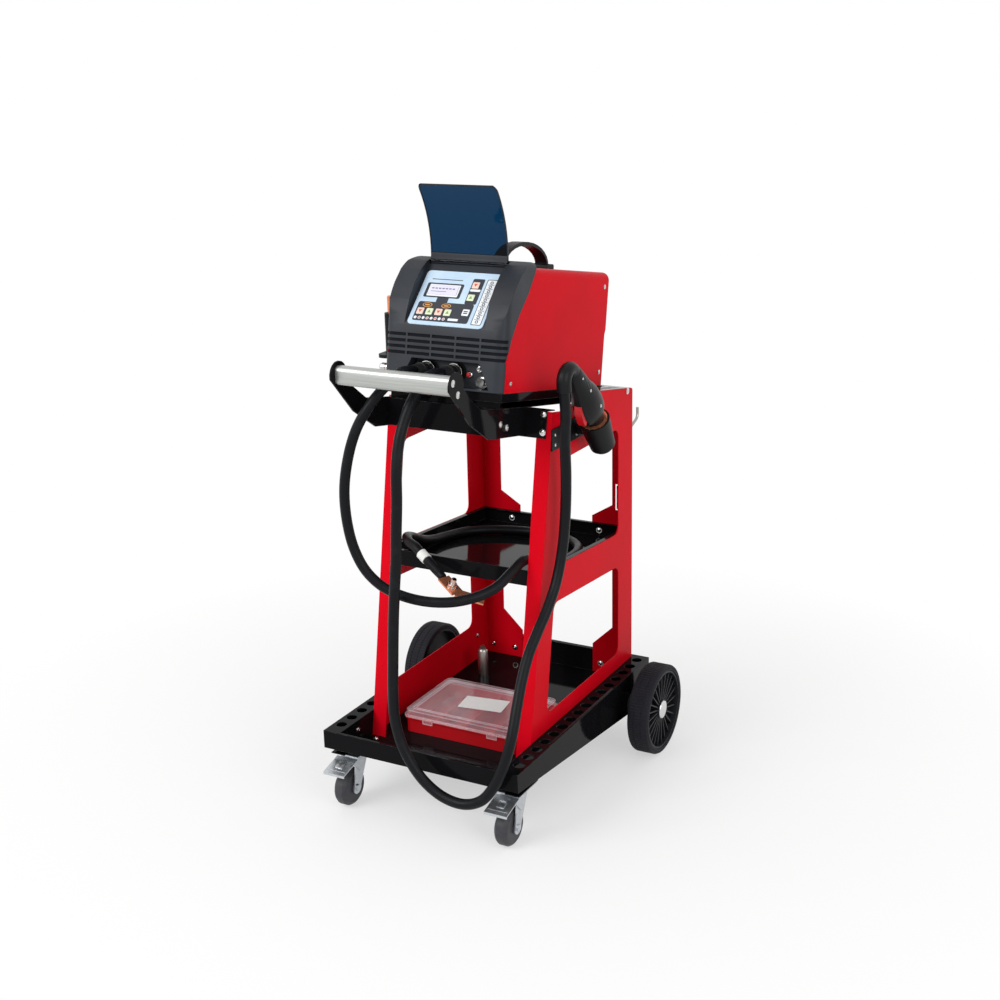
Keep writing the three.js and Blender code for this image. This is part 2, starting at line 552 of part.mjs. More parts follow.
// Casters: plate and race, fork, wheel and brake pedal. The wheel trails to the front, as it stands.
const casterPlateTop = floorUnder - clearance;
const raceUnder = casterPlateTop - caster.plateThickness - caster.raceHeight;
const discTop = raceUnder - clearance;
const discUnder = discTop - caster.discThickness;
const casterWheelY = casterY - caster.trail;

function makeCasterPlate(side) {
  const x = side * casterX;
  const plateUnder = casterPlateTop - caster.plateThickness;
  const plate = block(x - caster.plateWidth / 2, x + caster.plateWidth / 2, casterY - caster.plateLength / 2,
    casterY + caster.plateLength / 2, plateUnder, casterPlateTop);
  const headTop = discUnder - clearance;
  const race = turnedZ([[headTop - caster.pinHeadHeight, 0], [headTop - caster.pinHeadHeight,
    caster.pinHeadRadius],
    [headTop, caster.pinHeadRadius], [headTop, caster.pinRadius], [raceUnder, caster.pinRadius],
    [raceUnder, caster.raceRadius], [plateUnder + sheet / 2, caster.raceRadius], [plateUnder + sheet / 2, 0]],
  x, casterY);
  return join([plate, race]);
}

function makeFork(side) {
  const x = side * casterX;
  const disc = turnedZ([[discUnder, caster.pinRadius + clearance], [discUnder, caster.raceRadius],
    [discTop, caster.raceRadius], [discTop, caster.pinRadius + clearance], [discUnder,
    caster.pinRadius + clearance]],
  x, casterY);
  const inner = caster.wheelWidth / 2 + caster.forkGap;
  const reach = caster.raceRadius * 0.72;
  const cheeks = [-1, 1].map((hand) => {
    const low = [];
    for (let step = 0; step <= 6; step += 1) {
      const turn = (180 + 25 + step * 27) * degree;
      low.push([casterWheelY + caster.cheekRadius * Math.cos(turn),
        caster.wheelRadius + caster.cheekRadius * Math.sin(turn)]);
    }
    const points = [[casterY - caster.raceRadius * 1.25, discTop], ...low, [casterY + reach * 0.8, discTop]];
    return alongX(points, x + hand * inner, x + hand * (inner + caster.forkSheet));
  });
  const half = inner + caster.forkSheet;
  const roof = block(x - half, x + half, casterY - caster.raceRadius * 1.25,
    casterY - caster.pinHeadRadius - sheet,
    discUnder, discTop);
  const bolt = turnedX([[x - half - caster.boltHead, 0], [x - half - caster.boltHead,
    caster.boltRadius * 1.7],
    [x - half + clearance, caster.boltRadius * 1.7], [x - half + clearance, caster.boltRadius],
    [x + half - clearance, caster.boltRadius], [x + half - clearance, caster.boltRadius * 1.7],
    [x + half + caster.boltHead, caster.boltRadius * 1.7], [x + half + caster.boltHead, 0]],
  casterWheelY, caster.wheelRadius, 12);
  return join([disc, ...cheeks, roof, bolt]);
}

function makeCasterWheel(side) {
  const half = caster.wheelWidth / 2;
  const bore = caster.boltRadius + clearance;
  const r = caster.wheelRadius;
  const rounding = half / 2;
  const hubHalf = half + caster.forkGap - clearance * 2;
  const profile = [[-hubHalf, bore], [-hubHalf, bore * 2], [-half, bore * 2.4], [-half, r - rounding],
    [-half + rounding * 0.4, r - rounding * 0.4], [-half + rounding, r], [half - rounding, r],
    [half - rounding * 0.4, r - rounding * 0.4], [half, r - rounding], [half, bore * 2.4], [hubHalf,
    bore * 2],
    [hubHalf, bore], [-hubHalf, bore]].map(([x, radius]) => [x + side * casterX, radius]);
  return turnedX(profile, casterWheelY, caster.wheelRadius, 28);
}

function makePedal(side) {
  const x = side * casterX;
  const half = caster.pedalWidth / 2;
  const earInner = caster.wheelWidth / 2 + caster.forkGap + caster.forkSheet + clearance;
  const rearY = casterY - caster.raceRadius * 1.25 - clearance * 3;
  const tipY = rearY - caster.pedalReach + caster.pedalRise;
  const tipZ = caster.pedalTopZ - caster.pedalRise;
  const top = [[rearY, caster.pedalTopZ], [tipY, tipZ], [tipY, tipZ - caster.pedalDrop],
    [tipY + caster.pedalSheet, tipZ - caster.pedalDrop], [tipY + caster.pedalSheet, tipZ - caster.pedalSheet],
    [rearY, caster.pedalTopZ - caster.pedalSheet]];
  const plate = alongX(top, x - half, x + half);
  const ears = [-1, 1].map((hand) => {
    const boss = circle(caster.pedalPivotY, caster.pedalPivotZ, caster.pedalBossRadius, 12)
      .filter(([y, z]) => z < caster.pedalPivotZ + 1 && y > caster.pedalPivotY - caster.pedalBossRadius * 0.8);
    const points = [[rearY - caster.pedalRise, caster.pedalTopZ - caster.pedalSheet - 1],
      ...boss.sort(([a], [b]) => a - b),
      [rearY, caster.pedalTopZ - caster.pedalSheet / 2]];
    const outer = Math.min(earInner + caster.pedalSheet, half);
    return alongX(points, x + hand * earInner, x + hand * outer);
  });
  return join([plate, ...ears]);
}

// Storage box: a red base with dividers and a clear lid hinged along its rear edge.
const boxRear = box.frontY + box.depth;
const boxRimZ = floorTop + clearance + box.baseHeight;

function roundedRect(x0, x1, y0, y1, radius) {
  return rounded([[x0, y0], [x1, y0], [x1, y1], [x0, y1]], radius);
}

function makeBoxBase() {
  const half = boxWidth / 2 - box.rimReach;
  const foot = floorTop + clearance;
  const front = box.frontY + box.rimReach;
  const rear = boxRear - box.rimReach;
  const body = alongZ(roundedRect(-half, half, front, rear, box.cornerRadius), foot, boxRimZ);
  const inside = alongZ(roundedRect(-half + box.wall, half - box.wall, front + box.wall, rear - box.wall,
    box.cornerRadius - box.wall), foot + box.wall, boxRimZ + overrun);
  const walls = [];
  for (let index = 1; index <= box.dividers; index += 1) {
    const x = -half + (2 * half * index) / (box.dividers + 1);
    walls.push(block(x - box.wall / 2, x + box.wall / 2, front + box.wall / 2, rear - box.wall / 2,
      foot + box.wall / 2, boxRimZ - box.wall * 2));
  }
  const rimZ = boxRimZ - box.rimHeight;
  const rim = cut(alongZ(roundedRect(-half - box.rimReach / 2, half + box.rimReach / 2,
    front - box.rimReach / 2,
    rear + box.rimReach / 2, box.cornerRadius), rimZ, boxRimZ), [inside]);
  return join([cut(body, [inside]), rim, ...walls]);
}

function makeBoxLid() {
  const half = boxWidth / 2;
  const foot = boxRimZ + clearance;
  const top = foot + box.lidHeight;
  const shell = alongZ(roundedRect(-half + box.rimReach, half - box.rimReach, box.frontY + box.rimReach,
    boxRear - box.rimReach, box.cornerRadius), foot, top);
  const inside = alongZ(roundedRect(-half + box.rimReach + box.wall, half - box.rimReach - box.wall,
    box.frontY + box.rimReach + box.wall, boxRear - box.rimReach - box.wall, box.cornerRadius - box.wall),
  foot - overrun, top - box.wall);
  const rim = alongZ(roundedRect(-half, half, box.frontY, boxRear, box.cornerRadius + box.rimReach), foot,
    foot + box.wall);
  const latches = [-1, 1].map((side) => {
    const x = side * half * 0.55;
    return block(x - box.latchWidth / 2, x + box.latchWidth / 2, box.frontY, box.frontY + box.wall * 0.8,
      boxRimZ - box.rimHeight * 2, foot + box.wall);
  });
  return join([cut(join([shell, rim]), [inside]), ...latches]);
}

function makeWeight() {
  const foot = floorTop + clearance;
  const top = foot + weight.height;
  return turnedZ([[foot, 0], [foot, weight.radius], [top - weight.neckHeight * 1.5, weight.radius],
    [top - weight.neckHeight, weight.radius * 0.8], [top - weight.neckHeight, weight.neckRadius],
    [top, weight.neckRadius], [top, weight.boreRadius], [top - weight.neckHeight, weight.boreRadius],
    [top - weight.neckHeight, 0]], weightX, weightY);
}

// Welder pieces, in the deck's frame.
const bezelOuterShares = [[0, 0], [0, 0.47], [0.03, 0.54], [0.11, 0.66], [0.25, 0.785], [0.43, 0.895],
  [0.62, 0.965], [0.8, 1], [1, 1]];
const seamShares = [[0.107, 0], [0.107, 0.245], [0.214, 0.395], [0.43, 0.588], [0.723, 0.768], [1, 1]];

function bezelCurve(shares, inset = 0) {
  return shares.map(([a, b]) => [a * bezel.depth + inset, b * bezel.height]);
}

// A polyline moved sideways by a distance, to its right hand.
function offsetLine(points, distance) {
  return points.map((point, index) => {
    const before = points[Math.max(index - 1, 0)];
    const after = points[Math.min(index + 1, points.length - 1)];
    const run = new THREE.Vector2(after[0] - before[0], after[1] - before[1]).normalize();
    return [point[0] + run.y * distance, point[1] - run.x * distance];
  });
}

const plateRun = new THREE.Vector2(bezel.plateTopV, bezel.plateTopW - bezel.plateFootW);
const plateAlong = plateRun.clone().normalize();
const plateOut = new THREE.Vector2(-plateAlong.y, plateAlong.x);

// A slab that lies on the sloping control face: from a to b along it, from low to high out of it.
function plateSlab(x0, x1, a, b, low, high) {
  const corner = (along, out) => [plateAlong.x * along + plateOut.x * out,
    bezel.plateFootW + plateAlong.y * along + plateOut.y * out];
  return alongX([corner(a, low), corner(b, low), corner(b, high), corner(a, high)], x0, x1);
}

function makeBezel() {
  const outerLine = bezelCurve(bezelOuterShares);
  const seam = bezelCurve(seamShares);
  const outer = alongX([...outerLine, ...seam.slice(0, -1).reverse()], -bezel.halfWidth, bezel.halfWidth);
  const far = bezel.depth + overrun;
  const half = bezel.halfWidth;
  const plan = alongZ(rounded([[-half, 0], [half, 0], [half, far], [-half, far]], [bezel.edgeRadius,
    bezel.edgeRadius, 0, 0], 5), -overrun, bezel.height + overrun);
  const front = alongY(rounded([[-half, -overrun], [half, -overrun], [half, bezel.height], [-half,
    bezel.height]],
    [0, 0, bezel.topRadius, bezel.topRadius], 4), -overrun, far);
  const skin = outer.intersect(plan).intersect(front);
  const innerLine = offsetLine(outerLine, bezel.wall);
  innerLine[0] = [innerLine[0][0], bezel.wall];
  innerLine[innerLine.length - 1] = [far, bezel.height - bezel.wall];
  const inside = half - bezel.wall;
  const innerCorner = bezel.edgeRadius - bezel.wall;
  const innerPlan = alongZ(rounded([[-inside, bezel.wall], [inside, bezel.wall], [inside, far], [-inside,
    far]],
    [innerCorner, innerCorner, 0, 0], 5), -overrun, bezel.height + overrun);
  const innerTop = bezel.height - bezel.wall;
  const innerFront = alongY(rounded([[-inside, -overrun], [inside, -overrun], [inside, innerTop],
    [-inside, innerTop]],
    [0, 0, bezel.topRadius - bezel.wall, bezel.topRadius - bezel.wall], 4), -overrun, far);
  const hollow = alongX([...innerLine, [far, bezel.wall]], -inside, inside).intersect(innerPlan)
    .intersect(innerFront);
  const pad = bezel.pocketPad;
  const pocketHalf = bezel.pocketHalf;
  const hingeAlong = plateAlong.dot(new THREE.Vector2(bezel.hingeV, bezel.hingeW - bezel.plateFootW));
  const backing = plateSlab(-pocketHalf - pad, pocketHalf + pad, -pad, hingeAlong + 2 * pad, -pad,
    overrun * 4);
  const bay = bayCutter(0);
  const bayShell = bayCutter(bezel.wall).intersect(plan).intersect(front);
  const solid = join([cut(skin, [hollow]), backing.intersect(skin), bayShell]);
  const pocket = plateSlab(-pocketHalf, pocketHalf, -clearance, hingeAlong, 0, overrun * 8);
  const hingeRoom = lid.barrelRadius + clearance * 3;
  const hinge = join([turnedX(rod(-pocketHalf, pocketHalf, hingeRoom), bezel.hingeV, bezel.hingeW),
    block(-pocketHalf, pocketHalf, bezel.hingeV, bezel.hingeV + hingeRoom, bezel.hingeW,
      bezel.height + overrun)]);
  const pinEnd = pocketHalf + pad;
  const bore = turnedX(rod(-pinEnd, pinEnd, lid.pinRadius + clearance / 2), bezel.hingeV, bezel.hingeW, 12);
  const grooves = [];
  const span = (2 * half - (bezel.grooveColumns - 1) * bezel.barWidth) / bezel.grooveColumns;
  const uncut = half - bezel.grooveDepth;
  const uncutCorner = bezel.edgeRadius - bezel.grooveDepth;
  const core = alongZ(rounded([[-uncut, bezel.grooveDepth], [uncut, bezel.grooveDepth], [uncut, far],
    [-uncut, far]],
    [uncutCorner, uncutCorner, 0, 0], 5), -overrun, bezel.height);
  for (let row = 0; row < bezel.grooveRows; row += 1) {
    for (let column = 0; column < bezel.grooveColumns; column += 1) {
      const x = -half + column * (span + bezel.barWidth);
      const w = bezel.grooveTopW - row * bezel.groovePitch;
      const left = column === 0 ? x - overrun : x;
      const right = column === bezel.grooveColumns - 1 ? x + span + overrun : x + span;
      grooves.push(cut(block(left, right, -overrun, bezel.grooveWrap, w - bezel.grooveHeight / 2,
        w + bezel.grooveHeight / 2), [core]));
    }
  }
  return cut(solid, [pocket, hinge, bore, bay, ...grooves]);
}

// The recess in the bezel's foot that holds the sockets, larger by pad on every inner side.
function bayCutter(pad) {
  const half = bezel.bayHalf;
  const c = bezel.bayCentreX;
  const points = [[c - half - pad, bezel.wall - pad], [c + half + pad, bezel.wall - pad],
    [c + half - bezel.baySlope + pad, bezel.bayHeight + pad], [c - half + bezel.baySlope - pad,
    bezel.bayHeight + pad]];
  return alongY(points, pad > 0 ? 0 : -overrun, bezel.bayDepth + pad);
}

function makeCover() {
  const half = welder.halfWidth;
  const r = welder.cornerRadius;
  const t = welder.coverSheet;
  const seam = bezelCurve(seamShares, clearance);
  const far = welder.length;
  const arch = rounded([[-half, 0], [half, 0], [half, welder.height], [-half, welder.height]], [0, 0, r,
    r], 6);
  const hollow = rounded([[-half + t, -overrun], [half - t, -overrun], [half - t, welder.height - t],
    [-half + t, welder.height - t]], [0, 0, r - t, r - t], 6);
  const tunnel = cut(alongY(arch, 0, far), [alongY(hollow, -overrun, far + overrun)]);
  const side = [[seam[0][0], -overrun], ...seam, [far, bezel.height], [far, welder.height * 0.5],
    [far - sheet * 2, welder.height * 0.45],
    [far - sheet * 2, -overrun]];
  return tunnel.intersect(alongX(side, -half - overrun, half + overrun));
}

function makePan() {
  const half = welder.halfWidth;
  const wall = welder.panWall;
  const front = bezel.wall;
  const top = -clearance;
  const tub = cut(block(-half, half, front, welder.length, -welder.panHeight, top),
    [block(-half + wall, half - wall, front + wall, welder.length - wall, wall - welder.panHeight, overrun)]);
  const feet = [];
  for (const side of [-1, 1]) {
    for (const v of [welder.footInset + deck.frontV, welder.length - welder.footInset]) {
      feet.push(turnedZ(rod(deck.floorW + clearance, wall / 2 - welder.panHeight, welder.footRadius),
        side * (half - welder.footInset), v, 16));
    }
  }
  return join([tub, ...feet]);
}

const rearPlateV = welder.length - sheet * 2 - clearance;

function makeRearPanel() {
  const half = welder.halfWidth - welder.coverSheet - clearance;
  const top = welder.height - welder.coverSheet - clearance;
  const front = rearPlateV - sheet;
  const plate = alongY(rounded([[-half, 0], [half, 0], [half, top], [-half, top]],
    [0, 0, welder.cornerRadius, welder.cornerRadius], 4), front, rearPlateV);
  const opening = turnedY(rod(front - overrun, rearPlateV + overrun, fan.holeRadius), fan.x, fan.w, 32);
  const bars = [];
  for (let bar = -2; bar <= 2; bar += 1) {
    const w = fan.w + bar * fan.holeRadius * 0.36;
    bars.push(block(fan.x - fan.holeRadius - sheet, fan.x + fan.holeRadius + sheet, front, rearPlateV,
      w - fan.barWidth / 2, w + fan.barWidth / 2));
  }
  const boss = turnedY(rod(front - fan.bossLength, front + clearance, fan.bossRadius), fan.x, fan.w, 16);
  const shaft = turnedY(rod(front - fan.bossLength - fan.depth - sheet, front, fan.shaftRadius), fan.x,
    fan.w, 12);
  const backing = block(fan.x - fan.bossRadius, fan.x + fan.bossRadius, front, rearPlateV,
    fan.w - fan.bossRadius,
    fan.w + fan.bossRadius);
  const rockerHole = block(rocker.x - rocker.width / 2 - clearance, rocker.x + rocker.width / 2 + clearance,
    front - overrun * 4, rearPlateV + overrun, rocker.w - rocker.height / 2 - 1.4 * sheet,
    rocker.w + rocker.height / 2 + 1.4 * sheet);
  const frame = block(rocker.x - rocker.width / 2 - rocker.frame, rocker.x + rocker.width / 2 + rocker.frame,
    front - rocker.bodyDepth, rearPlateV + sheet, rocker.w - rocker.height / 2 - rocker.frame * 2,
    rocker.w + rocker.height / 2 + rocker.frame * 2);
  const glandHole = turnedY(rod(front - overrun, rearPlateV + overrun, gland.noseRadius + clearance),
    gland.x, gland.w, 16);
  return cut(join([cut(plate, [opening]), ...bars, backing, boss, shaft, frame]), [rockerHole, glandHole]);
}

function makeLid() {
  const root = [bezel.hingeV, bezel.hingeW];
  const chord = new THREE.Vector2(lid.tipV - root[0], lid.tipW - root[1]);
  const length = chord.length();
  const along = chord.clone().normalize();
  const back = new THREE.Vector2(along.y, -along.x);
  const line = [];
  for (let step = 0; step <= lid.steps; step += 1) {
    const share = step / lid.steps;
    const bulge = 4 * lid.sagitta * share * (1 - share);
    line.push([root[0] + along.x * length * share + back.x * bulge,
      root[1] + along.y * length * share + back.y * bulge]);
  }
  const half = lid.thickness / 2;
  const skin = alongX([...offsetLine(line, half), ...offsetLine(line, -half).reverse()], -lid.halfWidth,
    lid.halfWidth);
  const far = length + overrun;
  const low = -lid.barrelRadius * 2;
  const front = alongY(rounded([[-lid.halfWidth, root[1] + low], [lid.halfWidth, root[1] + low],
    [lid.halfWidth, lid.tipW + lid.thickness], [-lid.halfWidth, lid.tipW + lid.thickness]],
  [0, 0, lid.cornerRadius, lid.cornerRadius], 5), root[0] - far, root[0] + far);
  const barrel = turnedX(rod(-lid.halfWidth, lid.halfWidth, lid.barrelRadius), root[0], root[1], 16);
  const bore = turnedX(rod(-lid.halfWidth - overrun, lid.halfWidth + overrun, lid.pinRadius + clearance),
    root[0],
    root[1], 12);
  return cut(join([skin.intersect(front), barrel]), [bore]);
}

function makeHingePin() {
  const end = bezel.pocketHalf + bezel.pocketPad - clearance;
  return turnedX(rod(-end, end, lid.pinRadius), bezel.hingeV, bezel.hingeW, 12);
}

function makeHandle() {
  const base = welder.height + clearance;
  const outer = [];
  const inner = [];
  for (let step = 0; step <= 14; step += 1) {
    const turn = Math.PI - (step / 14) * Math.PI;
    const w = base + handle.footHeight / 2;
    outer.push([handle.centreV + handle.reach * Math.cos(turn), w + handle.rise * Math.sin(turn)]);
    inner.push([handle.centreV + (handle.reach - handle.strapThickness) * Math.cos(turn),
      w + (handle.rise - handle.strapThickness) * Math.sin(turn)]);
  }
  const strap = alongX([...outer, ...inner.reverse()], -handle.strapWidth / 2, handle.strapWidth / 2);
  const feet = [-1, 1].map((side) => {
    const middle = handle.centreV + side * (handle.reach + handle.strapThickness / 2);
    const points = rounded([[middle - handle.footLength / 2, base], [middle + handle.footLength / 2, base],
      [middle + handle.footLength / 2, base + handle.footHeight], [middle - handle.footLength / 2,
      base + handle.footHeight]],
    [0, 0, handle.footHeight / 2, handle.footHeight / 2], 4);
    return alongX(points, -handle.footWidth / 2, handle.footWidth / 2);
  });
  return join([strap, ...feet]);
}

function makeSocket(x) {
  const floor = bezel.bayDepth - clearance;
  const mouth = floor - socket.depth;
  return turnedY([[floor - sheet, 0], [floor - sheet, socket.boreRadius], [mouth, socket.boreRadius],
    [mouth, socket.radius], [floor - socket.flangeDepth, socket.radius],
    [floor - socket.flangeDepth, socket.flangeRadius], [floor, socket.flangeRadius], [floor, 0]], x,
    socket.w, 24);
}

const plugMouthV = bezel.bayDepth - clearance - socket.depth - clearance;
const plugEndV = plugMouthV - plug.bodyLength - plug.bootLength;

function makePlug(x) {
  const bodyEnd = plugMouthV - plug.bodyLength;
  return turnedY([[plugEndV, 0], [plugEndV, plug.bootRadius], [bodyEnd, plug.bootRadius],
    [bodyEnd, plug.bodyRadius], [plugMouthV, plug.bodyRadius], [plugMouthV, plug.tipRadius],
    [plugMouthV + plug.tipLength, plug.tipRadius], [plugMouthV + plug.tipLength, 0]], x, socket.w, 20);
}

function makeConnector() {
  const floor = bezel.bayDepth - clearance;
  return turnedY([[floor - control.length, 0], [floor - control.length, control.radius],
    [floor - control.length * 0.35, control.radius], [floor - control.length * 0.35, control.nutRadius],
    [floor, control.nutRadius], [floor, 0]], control.x, control.w, 16);
}

function makeControlPlate() {
  const length = plateRun.length();
  const half = bezel.plateHalf;
  const out = clearance + bezel.plateThickness;
  const edge = rounded([[-half, 0], [half, 0], [half, length], [-half, length]], bezel.plateCorner, 4);
  const frame = new THREE.Matrix4().makeBasis(new THREE.Vector3(1, 0, 0),
    new THREE.Vector3(0, plateAlong.x, plateAlong.y), new THREE.Vector3(0, plateOut.x, plateOut.y));
  const face = moved(alongZ(edge, clearance, out), frame.setPosition(0, 0, bezel.plateFootW));
  const keys = [];
  const keySize = half * key.sizeShare;
  for (const [across, up] of key.places) {
    const x = across * half - keySize / 2;
    const a = up * length - keySize / 2;
    keys.push(plateSlab(x, x + keySize, a, a + keySize, out - clearance, out + clearance * 2));
  }
  return join([face, ...keys]);
}

function makePane() {
  const length = plateRun.length();
  const low = clearance * 2 + bezel.plateThickness;
  const middle = windowPane.alongShare * length;
  return plateSlab(windowPane.centreX - windowPane.halfWidth, windowPane.centreX + windowPane.halfWidth,
    middle - windowPane.height / 2, middle + windowPane.height / 2, low, low + windowPane.thickness);
}

const panFloor = welder.panWall - welder.panHeight + clearance;

function makeCore() {
  const top = panFloor + core.height;
  const x0 = core.centreX - core.x / 2;
  const x1 = core.centreX + core.x / 2;
  const halfV = core.length / 2;
  const yoke = (core.length - core.leg - 2 * core.window) / 4;
  const body = block(x0, x1, core.centreV - halfV, core.centreV + halfV, panFloor, top);
  const holes = [-1, 1].map((side) => {
    const a = core.centreV + side * core.leg / 2;
    const b = a + side * core.window;
    return block(x0 - overrun, x1 + overrun, Math.min(a, b), Math.max(a, b), panFloor + yoke, top - yoke);
  });
  return cut(body, holes);
}

function makeWinding() {
  const yoke = (core.length - core.leg - 2 * core.window) / 4;
  const low = panFloor + yoke + clearance;
  const high = panFloor + core.height - yoke - clearance;
  const halfV = core.leg / 2 + core.window - clearance;
  const reach = core.x / 2 + core.windingReach;
  const outer = alongZ(roundedRect(core.centreX - reach, core.centreX + reach, core.centreV - halfV,
    core.centreV + halfV, core.windingReach * 0.7), low, high);
  const inner = core.leg / 2 + clearance;
  return cut(outer, [block(core.centreX - core.x / 2 - clearance, core.centreX + core.x / 2 + clearance,
    core.centreV - inner, core.centreV + inner, low - overrun, high + overrun)]);
}

function makeBoard() {
  const x1 = board.x + board.thickness;
  const parts = [block(board.x, x1, board.frontV, board.frontV + board.length, panFloor,
    panFloor + board.height)];
  for (let index = 0; index < board.blocks; index += 1) {
    const v = board.frontV + (index + 0.5) * (board.length / board.blocks) - board.blockLength / 2;
    const w = panFloor + board.height * (0.25 + 0.2 * index);
    parts.push(block(board.x - board.blockDepth, board.x + clearance, v, v + board.blockLength, w,
      w + board.blockHeight));
  }
  return join(parts);
}

function makeFan() {
  const front = rearPlateV - sheet - fan.bossLength - clearance;
  const back = front - fan.depth;
  const bore = fan.shaftRadius + clearance;
  const hub = turnedY([[back, bore], [back, fan.hubRadius], [front, fan.hubRadius], [front, bore], [back,
    bore]],
    fan.x, fan.w, 20);
  const blades = [];
  for (let blade = 0; blade < fan.blades; blade += 1) {
    const flat = block(-fan.bladeSheet / 2, fan.bladeSheet / 2, -fan.depth * 0.42, fan.depth * 0.42,
      fan.hubRadius - sheet, fan.radius);
    const turn = new THREE.Matrix4().makeRotationY((blade / fan.blades) * 2 * Math.PI)
      .multiply(new THREE.Matrix4().makeRotationZ(32 * degree));
    blades.push(moved(flat, turn.setPosition(fan.x, (front + back) / 2, fan.w)));
  }
  return join([hub, ...blades]);
}

function makeRocker() {
  const half = rocker.height / 2;
  const out = rearPlateV + sheet * 2;
  const nose = [[out - rocker.depth, rocker.w - half * 0.8], [out - sheet, rocker.w - half],
    [out + sheet, rocker.w - half],
    [out, rocker.w], [out + sheet, rocker.w + half], [out - sheet, rocker.w + half], [out - rocker.depth,
    rocker.w + half * 0.8]];
  const solid = alongX(nose.map(([v, w]) => [v - out, w - rocker.w]), rocker.x - rocker.width / 2,
    rocker.x + rocker.width / 2);
  return moved(solid, new THREE.Matrix4().makeRotationX(-rocker.tilt).setPosition(0, out, rocker.w));
}

function makeGland() {
  const outside = rearPlateV + clearance;
  const inside = rearPlateV - sheet - overrun;
  return turnedY([[inside, gland.boreRadius], [inside, gland.noseRadius], [outside, gland.noseRadius],
    [outside, gland.nutRadius], [outside + gland.nutLength, gland.nutRadius],
    [outside + gland.nutLength, gland.noseRadius], [outside + gland.nutLength + gland.noseLength,
    gland.boreRadius + sheet],
    [outside + gland.nutLength + gland.noseLength, gland.boreRadius], [inside, gland.boreRadius]],
    gland.x, gland.w, 16);
}

// Rod holder on the welder's left flank, upright, with a copper rod in it.
function makeHolder() {
  const top = holderZ + holder.height;
  const cup = turnedZ([[holderZ, 0], [holderZ, holder.radius], [top, holder.radius],
    [top, holder.boreRadius], [holderZ + sheet, holder.boreRadius], [holderZ + sheet, 0]],
  holderX, holderY, 20);
  const wallX = -welder.halfWidth - clearance;
  const half = holder.plateWidth / 2;
  const low = holderZ - holder.plateThickness;
  const plate = alongZ(rounded([[holderX - half, holderY - holder.plateLength * 0.6],
    [holderX + half, holderY - holder.plateLength * 0.6], [holderX + half,
    holderY + holder.plateLength * 0.4],
    [holderX - half, holderY + holder.plateLength * 0.4]], half * 0.8, 4), low, holderZ + clearance);
  const tongue = block(holderX, wallX, holderY - holder.tongueWidth / 2,
    holderY + holder.tongueWidth / 2, low,
    holderZ);
  const trimmed = cut(plate, [block(wallX, wallX + holder.plateWidth, holderY - holder.plateLength,
    holderY + holder.plateLength, low - overrun, top)]);
  return join([cup, trimmed, tongue]);
}

function makeCopperRod() {
  const foot = holderZ + sheet + clearance;
  const top = holderZ + holder.height + holder.rodOverTop;
  return turnedZ([[foot, 0], [foot, holder.rodRadius], [top - sheet, holder.rodRadius], [top,
    holder.rodRadius * 0.7],
    [top, 0]], holderX, holderY, 14);
}

// Gun. Its handle runs from the head up to the front, its nose down to the rear into the holster.
const handleDirection = new THREE.Vector3(0, -Math.sin(gun.handleTilt), Math.cos(gun.handleTilt));
const noseDirection = new THREE.Vector3(0, Math.sin(gun.noseTilt), -Math.cos(gun.noseTilt));
const gunHead = new THREE.Vector3(gunX, ...fromDeck(gun.headV, gun.headW));

// A matrix that sets the piece's z axis along a direction from a point, with its x axis as near across as it can be.
function aimed(origin, direction) {
  const across = new THREE.Vector3(1, 0, 0);
  across.addScaledVector(direction, -across.dot(direction)).normalize();
  const third = direction.clone().cross(across);
  return new THREE.Matrix4().makeBasis(across, third, direction).setPosition(origin);
}

const buttPoint = gunHead.clone().addScaledVector(handleDirection, gun.handleLength);
const bootAngle = gun.handleTilt;

function bootPoint(turn) {
  const centre = buttPoint.clone().add(new THREE.Vector3(0, -gun.bootBend * Math.cos(bootAngle),
    -gun.bootBend * Math.sin(bootAngle)));
  const start = new THREE.Vector3(0, Math.cos(bootAngle), Math.sin(bootAngle));
  return centre.addScaledVector(start.applyAxisAngle(new THREE.Vector3(1, 0, 0), turn), gun.bootBend);
}

const bootTangent = bootPoint(gun.bootTurn + degree).sub(bootPoint(gun.bootTurn - degree)).normalize();

// A point past the end of the boot's bend, straight out of it.
function bootExit(distance) {
  return bootPoint(gun.bootTurn).addScaledVector(bootTangent, distance);
}

